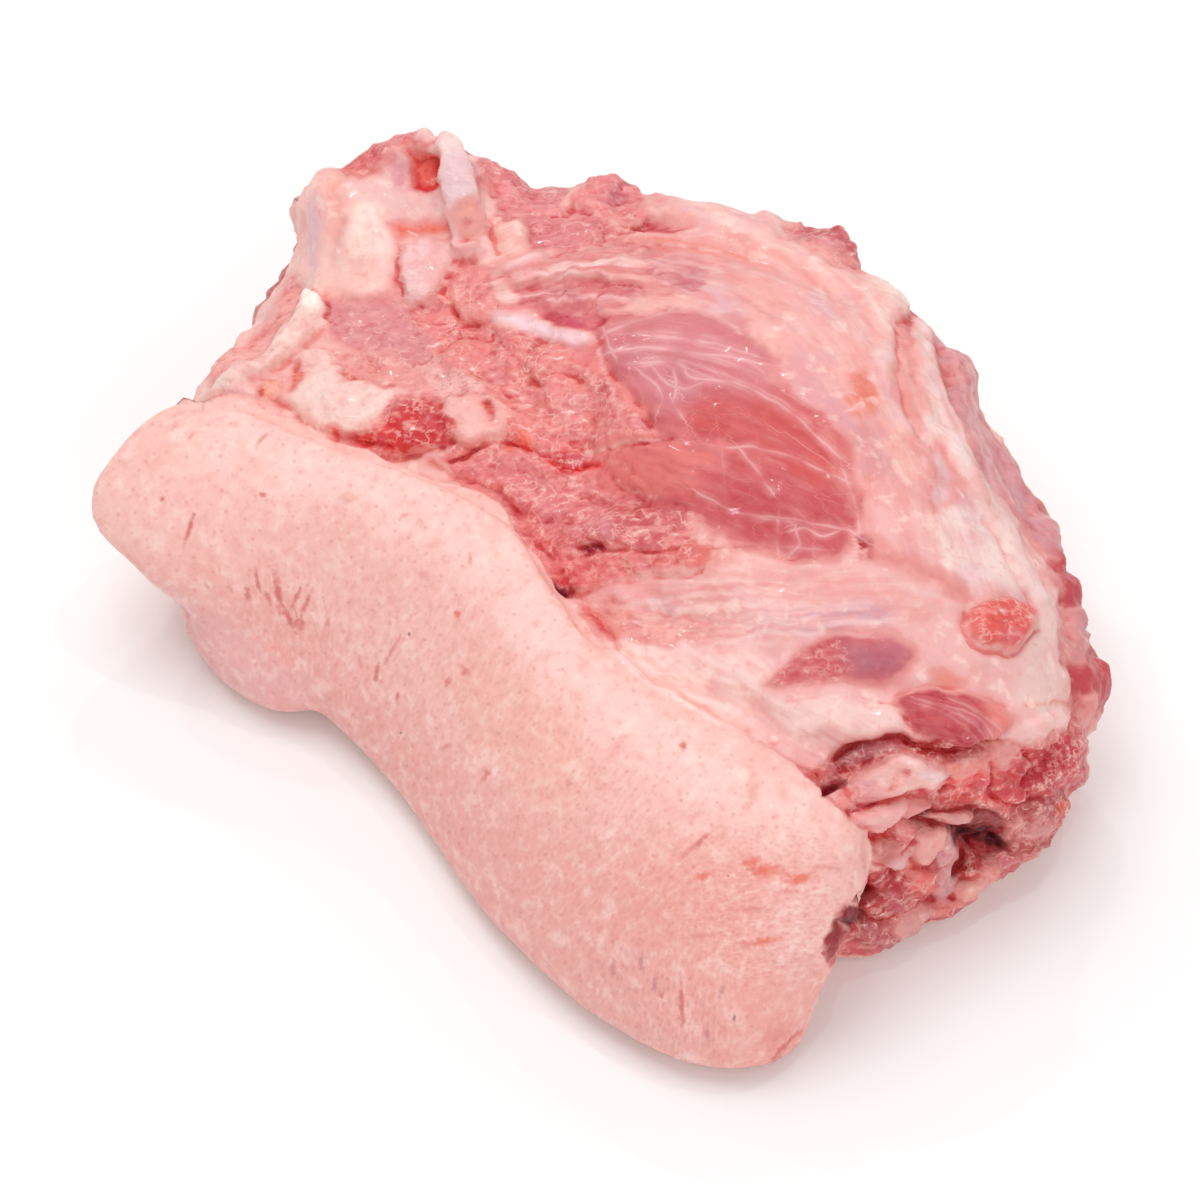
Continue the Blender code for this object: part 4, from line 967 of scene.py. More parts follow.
# Where fibres show: name, how strongly lean and fat run together in streaks, how much silvery skin lies
# over the lean, the path that the fibres follow, outline.
FIBRES = (
    ("upper", 1.0, 0.5, ((440, 290), (500, 272), (560, 258), (640, 256), (720, 276), (790, 320), (850, 390)),
        ((450, 215), (640, 210), (800, 230), (840, 300), (700, 325), (600, 330), (480, 300))),
    ("dome", 0.55, 0.2, ((640, 215), (720, 228), (800, 268), (860, 335), (905, 430), (930, 520), (950, 600)),
        ((680, 200), (850, 230), (930, 320), (1000, 480), (1060, 600), (960, 600), (870, 530), (850, 430),
        (780, 370), (720, 300))),
    ("masseter", 0.5, 0.5, ((560, 345), (645, 352), (690, 372), (740, 388), (790, 410), (840, 440),
        (880, 480)), ((590, 310), (750, 315), (830, 400), (870, 520), (860, 565), (700, 560), (625, 470),
        (655, 430), (600, 370))),
    ("rim", 0.35, 0.2, ((880, 270), (930, 340), (975, 430), (1020, 520), (1060, 600), (1090, 700)),
        ((900, 300), (980, 360), (1070, 540), (1120, 640), (1100, 700), (1060, 600), (960, 440))),
    ("low", 0.7, 0.3, ((560, 600), (640, 588), (720, 592), (800, 604), (880, 600), (960, 612), (1040, 640)),
        ((560, 580), (700, 555), (860, 560), (960, 600), (900, 640), (780, 650), (700, 660), (590, 640))),
    ("low_cream", 0.6, 0.1, ((590, 620), (650, 670), (720, 715), (800, 760)), ((590, 632), (700, 640),
        (790, 660), (850, 690), (900, 735), (800, 770), (700, 735), (620, 670))),
    ("patch_a", 0.5, 0.6, ((765, 690), (800, 656), (850, 640), (915, 650)), ((765, 690), (800, 650),
        (860, 628), (915, 650), (890, 690))),
    ("patch_b", 0.8, 0.9, ((890, 700), (940, 706), (1015, 735)), ((895, 690), (970, 692), (1015, 720),
        (990, 750), (920, 740))),
    ("wet_muscle", 0.6, 0.6, ((330, 300), (380, 320), (436, 350)), ((325, 290), (410, 290), (440, 346),
        (423, 370), (352, 352))),
    ("corner", 0.2, 0.2, ((310, 170), (330, 240), (330, 300)), ((300, 175), (440, 180), (480, 250),
        (440, 300), (310, 290))),
    ("wall", 0.4, 0.2, ((800, 790), (900, 765), (1000, 745), (1090, 720)), ((800, 765), (1000, 740),
        (1100, 720), (1060, 870), (900, 950), (840, 900))),
)
# How far a guiding path is drawn out beyond its ends, in drawing units.
GUIDE_REACH = 200

# Where lean and fat lie mixed, as marbling: name, the lean's lead in millimetres, outline.
MARBLED = (
    ("upper", 0.1, ((480, 250), (600, 235), (760, 240), (790, 330), (700, 320), (600, 345), (540, 300),
        (480, 305))),
    ("upper_right", -0.5, ((600, 225), (720, 225), (790, 250), (770, 330), (690, 300), (620, 270))),
    ("dome", -1.1, ((780, 270), (880, 300), (930, 420), (940, 510), (870, 530), (850, 440), (790, 360))),
    ("low_top", -0.5, ((700, 560), (850, 560), (950, 600), (900, 625), (760, 605), (640, 605), (620, 580))),
    ("ledge", -0.2, ((285, 390), (340, 345), (420, 352), (440, 400), (340, 430), (300, 425))),
    ("wall_middle", 0.0, ((840, 800), (950, 790), (1060, 800), (1020, 860), (930, 870), (870, 860))),
    ("corner_right", 0.0, ((440, 220), (540, 250), (500, 310), (430, 300))),
    ("ledge_left", 0.3, ((200, 385), (250, 335), (300, 300), (340, 340), (290, 400))),
    ("top_middle", 0.2, ((560, 190), (660, 190), (700, 240), (600, 250))),
    ("dome_edge", -0.3, ((740, 330), (790, 340), (850, 420), (870, 530), (840, 520), (800, 420))),
)

# The rind's lip in plan, in millimetres: no rind lies behind it.
RIND_LIP = (
    (-140, -62), (-104, -60), (-90, -52), (-66, -47), (-40, -42), (-18, -35), (2, -33), (22, -41), (44, -48),
    (68, -45), (90, -40), (108, -36), (118, -35), (135, -40),
)
RIND_FOOT = 4.5


# ---------------------------------------------------------------- the fine skin
def placed(name, data):
    """A new object in the scene."""
    obj = bpy.data.objects.new(name, data)
    bpy.context.scene.collection.objects.link(obj)
    return obj


def applied(obj, kind, **settings):
    """Adds one modifier with its settings and applies it at once."""
    modifier = obj.modifiers.new(kind.title(), kind)
    for name, value in settings.items():
        setattr(modifier, name, value)
    bpy.context.view_layer.objects.active = obj
    with bpy.context.temp_override(object=obj, active_object=obj):
        bpy.ops.object.modifier_apply(modifier=modifier.name)


def coordinates(mesh):
    flat = np.empty(len(mesh.vertices) * 3)
    mesh.vertices.foreach_get("co", flat)
    return flat.reshape(-1, 3) / MM


def put_coordinates(mesh, points):
    mesh.vertices.foreach_set("co", (points * MM).ravel())
    mesh.update()


def normals(mesh):
    flat = np.empty(len(mesh.vertices) * 3)
    mesh.vertices.foreach_get("normal", flat)
    return flat.reshape(-1, 3)


def edge_ends(mesh):
    flat = np.empty(len(mesh.edges) * 2, dtype=np.int64)
    mesh.edges.foreach_get("vertices", flat)
    return flat.reshape(-1, 2)


# The share of its own place that a point keeps in one round of relaxing.
KEPT_PLACE = 0.4


def relaxed(points, ends, rounds):
    """Points, each moved towards the mean of its neighbours, several times."""
    count = np.bincount(ends.ravel(), minlength=len(points)).astype(float)
    count[count == 0] = 1
    out = points.copy()
    for _ in range(rounds):
        total = np.stack(
            [
                np.bincount(ends[:, 0], out[ends[:, 1], k], len(points))
                + np.bincount(ends[:, 1], out[ends[:, 0], k], len(points))
                for k in range(out.shape[1])
            ],
            axis=1,
        )
        out = KEPT_PLACE * out + (1 - KEPT_PLACE) * total / count[:, None]
    return out


def fine_skin(node):
    """A copy of the CAD solid, rounded and divided finely, most finely where the lean and fat show."""
    mesh = node.data.copy()
    mesh.materials.clear()
    skin = placed("jowl_skin", mesh)
    applied(skin, "WELD", merge_threshold=WELD * MM)
    applied(skin, "SUBSURF", levels=1, render_levels=1)
    applied(skin, "REMESH", mode="VOXEL", voxel_size=SKIN_VOXEL * MM, adaptivity=0.0)
    applied(skin, "SMOOTH", factor=0.5, iterations=COARSE_SMOOTH)
    mesh = skin.data
    points = coordinates(mesh)
    facing = normals(mesh) @ TOWARDS
    rind = inside(project(points), RIND)
    dense = (facing > DENSE_FACING) & (rind < DENSE_RIND) & (points[:, 2] > DENSE_HEIGHT)
    work = bmesh.new()
    work.from_mesh(mesh)
    work.faces.ensure_lookup_table()
    edges = {e for f in work.faces if all(dense[v.index] for v in f.verts) for e in f.edges}
    bmesh.ops.subdivide_edges(work, edges=list(edges), cuts=1, use_grid_fill=True)
    work.to_mesh(mesh)
    work.free()
    points = coordinates(mesh)
    smooth = relaxed(points, edge_ends(mesh), FINE_SMOOTH)
    smooth[:, 2] = np.where(points[:, 2] < FLAT_BELOW, points[:, 2], smooth[:, 2])
    put_coordinates(mesh, smooth)
    return skin


# ---------------------------------------------------------------- painting
# How far a face is turned from the drawing where painting and swellings start and where they are whole.
SEEN_FADE, EDGE_FADE = (-0.12, 0.12), (-0.55, -0.05)
# How outlines wander: reach in drawing units and size in millimetres, and a seed for across and for down.
WANDER = ((7.0, 7.0), (3.2, 2.6))
WANDER_SEEDS = (11, 21)
# Where nothing is laid: the lean's lead and the blur of its edge in millimetres, the distance to a strand,
# and the colours.
BARE_LEAD, BARE_BLUR, NO_STRAND = -3.0, 0.6, 9.0
BARE_LEAN, BARE_FAT = (208, 100, 102), (243, 196, 188)
# The lead is never more than this. Three layers of strands fit in one stored vector.
LEAD_LIMIT = 3.0
STRAND_LAYERS = 3
# An area's usual straying and softness, and the straying of strands, streaks, clefts and the rind's edge.
AREA_STRAY, AREA_SOFT = 0.8, 0.6
STRAND_STRAY, STREAK_STRAY, CLEFT_STRAY, RIND_STRAY = 0.12, 0.5, 0.4, 0.3
# How far outside and inside its outline an area's colour goes from nothing to whole, beside its softness, and
# at most at what share of its greatest depth it is whole. How far the blur of its edge reaches. How wide the
# slope round a raised or sunk area is, for its height and at least. All but the shares are in millimetres.
COVER_OUTSIDE, COVER_INSIDE, COVER_MOST = 0.9, 0.4, 0.6
BLUR_REACH = 2.5
SLOPE_SHARE, SLOPE_LEAST = 0.5, 0.7


class Canvas:
    """What is known at each point of the skin while the areas are laid on it, large to small."""

    def __init__(self, points, facing):
        size = len(points)
        self.points = points
        self.seen = smoothstep(*SEEN_FADE, facing)
        self.edge = smoothstep(*EDGE_FADE, facing)
        self.drawn = project(points)
        wander = [
            sum(reach * noise3(points, grain, seed + k) for k, (reach, grain) in enumerate(WANDER))
            for seed in WANDER_SEEDS
        ]
        self.spots = self.drawn + np.stack(wander, axis=1)
        self.lean = np.full(size, BARE_LEAD)
        self.blur = np.full(size, BARE_BLUR)
        self.lean_colour = np.tile(rgb(BARE_LEAN), (size, 1))
        self.fat_colour = np.tile(rgb(BARE_FAT), (size, 1))
        self.height = np.zeros(size)
        self.strands = np.full((size, STRAND_LAYERS), NO_STRAND)
        self.web = np.full((size, STRAND_LAYERS), NO_STRAND)

    def strayed(self, share):
        return self.drawn + share * (self.spots - self.drawn)

    def lay(self, kind, name, colour, outline):
        """Lays an area of lean or fat over what is there, and raises or sinks it."""
        depth = inside(self.strayed(STRAYING.get(name, AREA_STRAY)), rounded(outline)) / PIXELS_PER_MM
        soft = SOFTNESS.get(name, AREA_SOFT)
        whole = min(COVER_INSIDE + soft, COVER_MOST * depth.max())
        cover = smoothstep(-COVER_OUTSIDE - soft, whole, depth)[:, None]
        self.blur = mix(self.blur, soft, smoothstep(BLUR_REACH * soft + 1, soft, np.abs(depth)))
        if kind == "lean":
            self.lean = np.maximum(self.lean, np.minimum(depth, LEAD_LIMIT))
            self.lean_colour = mix(self.lean_colour, rgb(colour), cover)
        else:
            self.lean = np.minimum(self.lean, -np.minimum(depth, LEAD_LIMIT))
            self.fat_colour = mix(self.fat_colour, rgb(colour), cover)
        if name in HEIGHTS:
            slope = SLOPE_SHARE * abs(HEIGHTS[name]) + SLOPE_LEAST
            self.height += HEIGHTS[name] * smoothstep(-0.5 * slope, slope, depth)

    def draw(self, layers, path, number):
        """Draws a strand on the layers in turn, so that near strands don't share a layer."""
        gap = beside(self.strayed(STRAND_STRAY), path) / PIXELS_PER_MM
        layer = number % STRAND_LAYERS
        closer = np.abs(gap) < np.abs(layers[:, layer])
        layers[closer, layer] = gap[closer]

    def tint_along(self, path, colour, strength, width):
        """Colours lean and fat in a line along a path."""
        depth = 0.5 * width - np.abs(beside(self.strayed(STREAK_STRAY), path)) / PIXELS_PER_MM
        self.fat_colour = tinted(self.fat_colour, colour, strength, 1.0, depth)
        self.lean_colour = tinted(self.lean_colour, colour, strength, 1.0, depth)

    def inner(self, outline, edge):
        """1 well inside an outline, 0 outside it, with an edge in millimetres."""
        return smoothstep(-0.3 * edge, edge, inside(self.spots, rounded(outline)) / PIXELS_PER_MM)


def tinted(base, colour, strength, softness, depth):
    """A base colour with another laid over it, from nothing outside an edge to its strength inside it."""
    share = strength * smoothstep(-0.5 * softness, 0.5 * softness, depth)
    return mix(base, rgb(colour), share[:, None])


# The rind as it goes on out of sight, in millimetres: how ragged it is, how far it keeps from the lip, how deep
# it counts at most, and how far past the lip and how much lower than its foot it still is rind where it shows.
RAGGED_RIND, RAGGED_SIZE = 1.2, 5.0
HIDDEN_LIP, HIDDEN_DEPTH = 2.0, 12.0
SHOWN_LIP, SHOWN_FOOT = 5.0, 2.0


def rind_depth(canvas):
    """Signed distance into the rind, in millimetres."""
    points = canvas.points
    shown = inside(canvas.strayed(RIND_STRAY), rounded(RIND)) / PIXELS_PER_MM
    lip = np.array(RIND_LIP, dtype=float)
    in_front = np.interp(points[:, 0], lip[:, 0], lip[:, 1]) - points[:, 1]
    foot = RIND_FOOT - points[:, 2] + RAGGED_RIND * noise3(points, RAGGED_SIZE, seed=31)
    hidden = np.maximum(np.minimum(in_front - HIDDEN_LIP, HIDDEN_DEPTH), foot)
    shown = np.maximum(np.minimum(shown, in_front + SHOWN_LIP), foot - SHOWN_FOOT)
    return mix(hidden, shown, canvas.seen)


# Between two sets of fibres, a line this wide has none, and they grow to full strength over this much.
FIBRE_GAP, FIBRE_EDGE = 1.5, 3.0


def fibre_grain(canvas):
    """Coordinates that run along and across the fibres, and how strongly the fibres show."""
    grain = np.column_stack([canvas.drawn / PIXELS_PER_MM, canvas.points @ TOWARDS])
    streak = np.zeros(len(grain))
    silver = np.zeros(len(grain))
    for _, amount, silvery, guide, outline in FIBRES:
        inner = inside(canvas.drawn, rounded(outline)) / PIXELS_PER_MM
        chosen = inner > 0
        along, across = course(canvas.drawn[chosen], drawn_out(curved(guide), GUIDE_REACH))
        grain[chosen, 0], grain[chosen, 1] = along / PIXELS_PER_MM, across / PIXELS_PER_MM
        streak *= smoothstep(0.0, FIBRE_GAP, np.abs(inner))
        share = smoothstep(0.0, FIBRE_EDGE, inner)
        streak = mix(streak, amount, share)
        silver = mix(silver, silvery, share)
    return grain, streak * canvas.seen, silver * canvas.seen


# The sides that the drawing doesn't show: two colours each for lean, fat and rind, and for the lean's lead how
# thick its layers are, how they bend, and how patches break them up, all in millimetres.
HIDDEN_LEAN = (188, 84, 88), (212, 118, 115)
HIDDEN_FAT = (236, 178, 172), (246, 206, 194)
HIDDEN_RIND = (236, 182, 172), (243, 198, 184)
LAYER_THICKNESS, LAYER_BEND, LAYER_BEND_SIZE = 5.2, 2.2, 34.0
LAYER_LEAD, PATCH_LEAD, PATCH_SIZE, LEAD_SHIFT = 1.5, 2.2, (16.0, 16.0, 9.0), -0.2


def patchy(points, colours, size, spread, seed):
    """Two colours that pass into each other in patches of a size in millimetres."""
    share = smoothstep(-spread, spread, noise3(points, size, seed))[:, None]
    return mix(rgb(colours[0]), rgb(colours[1]), share)


def hidden_cut(points):
    """Lean lead, lean colour and fat colour on the cut sides that the drawing doesn't show."""
    bend = LAYER_BEND * noise3(points, LAYER_BEND_SIZE, seed=41)
    layer = np.sin(points[:, 2] / LAYER_THICKNESS + bend + 1.0)
    lead = LAYER_LEAD * layer + PATCH_LEAD * noise3(points, PATCH_SIZE, seed=42) + LEAD_SHIFT
    lean = patchy(points, HIDDEN_LEAN, 22.0, 0.6, seed=43)
    return lead, lean, patchy(points, HIDDEN_FAT, 18.0, 0.5, seed=44)


# Lumps and crumbs: how their cells are bent, how far a cell's middle strays, and how steep their edges are.
BEND_SIZE, BEND_REACH = 1.3, 0.4
CELL_STRAY, CELL_STEEPNESS = 0.4, 1.4


def lumps(points, size, seed):
    """Rounded lumps with creases between them, from about -0.5 to 0.5."""
    bend = np.stack([noise3(points, size * BEND_SIZE, seed + k, 1) for k in range(3)], axis=1)
    return cell_bumps(points + bend * size * BEND_REACH, size, seed) - 0.5


def cell_bumps(points, size, seed):
    """Rounded crumbs: how near each point is to the middle of its cell, from 0 at an edge to 1."""
    p = points / size
    cell = np.floor(p).astype(np.int64)
    first = second = np.full(len(p), np.inf)
    for dx in (-1, 0, 1):
        for dy in (-1, 0, 1):
            for dz in (-1, 0, 1):
                c = cell + np.array((dx, dy, dz))
                stray = [hashed(*c.T, seed + k) * CELL_STRAY + 0.5 for k in range(3)]
                gap = np.linalg.norm(c + np.stack(stray, axis=1) - p, axis=1)
                second = np.minimum(second, np.maximum(first, gap))
                first = np.minimum(first, gap)
    return np.clip(CELL_STEEPNESS * (second - first), 0, 1)


def nearest_marks(drawn, marks):
    """Where each point lies in its nearest mark's ellipse, how strong the mark is there, and its colour."""
    place = np.tile(np.array(NO_MARK, dtype=float), (len(drawn), 1))
    colour = np.tile(rgb(RIND_COLOUR), (len(drawn), 1))
    nearest = np.full(len(drawn), np.inf)
    for _, kind, strength, reach, angle, centre in marks:
        turn = math.radians(angle)
        offset = drawn - np.array(centre, dtype=float)
        along = offset @ (math.cos(turn), math.sin(turn))
        across = offset @ (-math.sin(turn), math.cos(turn))
        beyond = np.hypot(np.maximum(np.abs(along) - reach[0], 0), across)
        chosen = beyond < nearest
        nearest[chosen] = beyond[chosen]
        near = strength * (beyond < 2 * reach[1] + MARK_MARGIN)
        place[chosen] = np.stack([along / reach[0], across / reach[1], near], axis=1)[chosen]
        colour[chosen] = MARK_COLOURS[kind]
    return place, colour


def add_attribute(mesh, name, kind, values):
    attribute = mesh.attributes.new(name, kind, "POINT")
    if kind == "FLOAT":
        attribute.data.foreach_set("value", values.astype(np.float32))
    elif kind == "FLOAT_VECTOR":
        attribute.data.foreach_set("vector", values.astype(np.float32).ravel())
    else:
        rgba = np.ones((len(values), 4), dtype=np.float32)
        rgba[:, :3] = linear(np.clip(values, 0, 255)) * UNDER_GLOSS
        attribute.data.foreach_set("color", rgba.ravel())


# Marbling: the edge of a marbled part, how far the lead stays from its given value, and the blur there.
MARBLE_EDGE, MARBLE_SPREAD, MARBLE_BLUR = 3.5, 0.9, 1.1
STREAK_STRENGTH, STREAK_SEED = 0.85, 100


def paint(canvas):
    """Lays the areas, the marbling and the streaks on the canvas."""
    for kind, name, colour, outline in AREAS:
        canvas.lay(kind, name, colour, outline)
    for _, lead, outline in MARBLED:
        share = canvas.inner(outline, MARBLE_EDGE)
        near_lead = np.clip(canvas.lean, lead - MARBLE_SPREAD, lead + MARBLE_SPREAD)
        canvas.lean = mix(canvas.lean, near_lead, share)
        canvas.blur = mix(canvas.blur, MARBLE_BLUR, share)
    for number, (_, path) in enumerate(STRANDS):
        canvas.draw(canvas.strands, curved(path), number)
    for seed, (_, count, first, last) in enumerate(STRAND_FAMILIES):
        for number, path in enumerate(family(first, last, count, seed)):
            canvas.draw(canvas.web, path, number)
    for _, colour, width, path in STREAKS:
        canvas.tint_along(curved(path), colour, STREAK_STRENGTH, width)
    for seed, (_, colour, strength, width, count, first, last) in enumerate(STREAK_FAMILIES, STREAK_SEED):
        for path in family(first, last, count, seed):
            canvas.tint_along(path, colour, strength, width)


# The relief, with all heights and sizes in millimetres. Large lumps on the sides out of sight.
HIDDEN_LUMP_HEIGHT, HIDDEN_LUMP_SIZE = 1.8, 11.0
# Creases along the crests of a noise that is drawn out along the fibres.
CREASE_DEPTH, CREASE_SIZE, CREASE_STRETCH, CREASE_START, CREASE_WIDTH = -0.9, 5.2, (2.6, 1.0, 1.6), 0.72, 0.28
# Uneven ground in the flesh and in the rind: height, size and seed.
FLESH_WAVES = ((0.45, 7.5, 62), (0.25, 3.2, 63))
RIND_WAVES = ((0.5, 30.0, 65), (0.15, 8.0, 66))
# Crumbs, fibres, and how much the fat stands proud of the lean.
CRUMB_HEIGHT, CRUMB_SIZE, CRUMB_LEVEL = 0.6, 3.2, 0.45
FIBRE_HEIGHT, FIBRE_SIZE = 0.35, (11.0, 1.9, 6.0)
FAT_RISE, FAT_EDGE = 0.3, 1.2
# The relief fades out down to the flat underside between these heights.
FOOT_FADE = (0.2, 3.0)
LUMP_EDGE, CALM_EDGE, CRUMB_EDGE = 4.0, 3.0, 2.5
LUMP_SEED, LUMP_SEED_STEP = 70, 5


def waves(points, table):
    """The sum of some noises, each with its height, size and seed."""
    return sum(height * noise3(points, size, seed) for height, size, seed in table)


def relief(canvas, rind, lean, crumb, grain, streak, calm):
    """How far each point of the skin moves outwards, in millimetres."""
    points, seen = canvas.points, canvas.seen
    lift = HIDDEN_LUMP_HEIGHT * (1 - seen) * lumps(points, HIDDEN_LUMP_SIZE, seed=111)
    for number, (_, height, size, outline) in enumerate(LUMPY):
        share = canvas.inner(outline, LUMP_EDGE) * seen
        some = share > 0
        lift[some] += height * share[some] * lumps(points[some], size, LUMP_SEED + LUMP_SEED_STEP * number)
    fold = 1 - np.abs(noise3(grain / np.array(CREASE_STRETCH), CREASE_SIZE, seed=67))
    small = CREASE_DEPTH * (0.35 + 0.65 * streak) * np.clip(fold - CREASE_START, 0, 1) / CREASE_WIDTH
    lift += (small + waves(points, FLESH_WAVES)) * calm
    crumbs = cell_bumps(points, CRUMB_SIZE, seed=61) - CRUMB_LEVEL
    lift += CRUMB_HEIGHT * crumb * smoothstep(-1.5, 0.8, lean) * crumbs
    fibres = noise3(grain / np.array(FIBRE_SIZE), 1.0, seed=64)
    lift += FIBRE_HEIGHT * streak * (0.4 + 0.6 * calm) * fibres
    lift += FAT_RISE * smoothstep(FAT_EDGE, -FAT_EDGE, lean) + canvas.height * seen
    for _, height, softness, outline in SWELLS:
        depth = inside(canvas.drawn, outline) / PIXELS_PER_MM
        lift += height * canvas.edge * smoothstep(-softness, softness, depth)
    for _, depth, width, path in CLEFTS:
        gap = beside(canvas.strayed(CLEFT_STRAY), curved(path)) / PIXELS_PER_MM
        lift -= depth * np.exp(-((gap / width) ** 2)) * seen
    flesh = smoothstep(0.5, -1.0, rind)
    lift = flesh * lift + (1 - flesh) * waves(points, RIND_WAVES)
    return lift * smoothstep(*FOOT_FADE, points[:, 2])


# How crumbly the sides out of sight are, and how wide round a point its hollow is judged.
HIDDEN_CRUMB = 0.6
HOLLOW_ROUNDS = 8


def paint_and_sculpt(skin):
    """Lays the areas on the skin, raises and cuts its relief, and stores what the material needs."""
    mesh = skin.data
    points = coordinates(mesh)
    across = normals(mesh)
    canvas = Canvas(points, across @ TOWARDS)
    paint(canvas)

    lead, lean_colour, fat_colour = hidden_cut(points)
    seen = canvas.seen
    lean = mix(lead, canvas.lean, seen)
    lean_colour = mix(lean_colour, canvas.lean_colour, seen[:, None])
    fat_colour = mix(fat_colour, canvas.fat_colour, seen[:, None])
    rind = rind_depth(canvas)
    crumb = np.zeros(len(points))
    for _, amount, outline in CRUMBLY:
        crumb = np.maximum(crumb, amount * canvas.inner(outline, CRUMB_EDGE))
    crumb = mix(HIDDEN_CRUMB, crumb, seen) * smoothstep(1.0, -1.0, rind)
    grain, streak, silver = fibre_grain(canvas)
    calm = np.ones(len(points))
    for _, share, outline in CALM:
        calm = mix(calm, share, canvas.inner(outline, CALM_EDGE) * seen)

    rind_colour = np.tile(rgb(RIND_COLOUR), (len(points), 1))
    for _, colour, strength, softness, outline in RIND_TINTS:
        depth = inside(canvas.spots, outline) / PIXELS_PER_MM
        rind_colour = tinted(rind_colour, colour, strength * seen, softness, depth)
    rind_colour = mix(patchy(points, HIDDEN_RIND, 25.0, 0.6, seed=51), rind_colour, seen[:, None])

    lift = relief(canvas, rind, lean, crumb, grain, streak, calm)
    moved = points + across * lift[:, None]
    moved[:, 2] = np.maximum(moved[:, 2], 0.0)
    put_coordinates(mesh, moved)
    # How hollow each point lies: the material paints shade, darker and redder, in the deepest hollows.
    around = relaxed(moved, edge_ends(mesh), HOLLOW_ROUNDS)
    hollow = ((around - moved) * across).sum(axis=1)

    stored = {
        "FLOAT": {
            "lean": lean, "blur": canvas.blur, "rind": rind, "crumb": crumb, "streak": streak,
            "silver": silver, "hollow": hollow, "seen": seen, "calm": calm,
        },
        "FLOAT_VECTOR": {
            "grain": grain, "drawing": np.column_stack([canvas.drawn, np.zeros(len(points))]),
            "strands": canvas.strands, "web": canvas.web,
        },
        "FLOAT_COLOR": {"lean_colour": lean_colour, "fat_colour": fat_colour, "rind_colour": rind_colour},
    }
    for kind, attributes in stored.items():
        for name, values in attributes.items():
            add_attribute(mesh, name, kind, values)
    for layer in range(MARK_LAYERS):
        place, colour = nearest_marks(canvas.drawn, RIND_MARKS[layer::MARK_LAYERS])
        add_attribute(mesh, f"mark_{layer}", "FLOAT_VECTOR", place)
        add_attribute(mesh, f"mark_colour_{layer}", "FLOAT_COLOR", colour)
    mesh.shade_smooth()


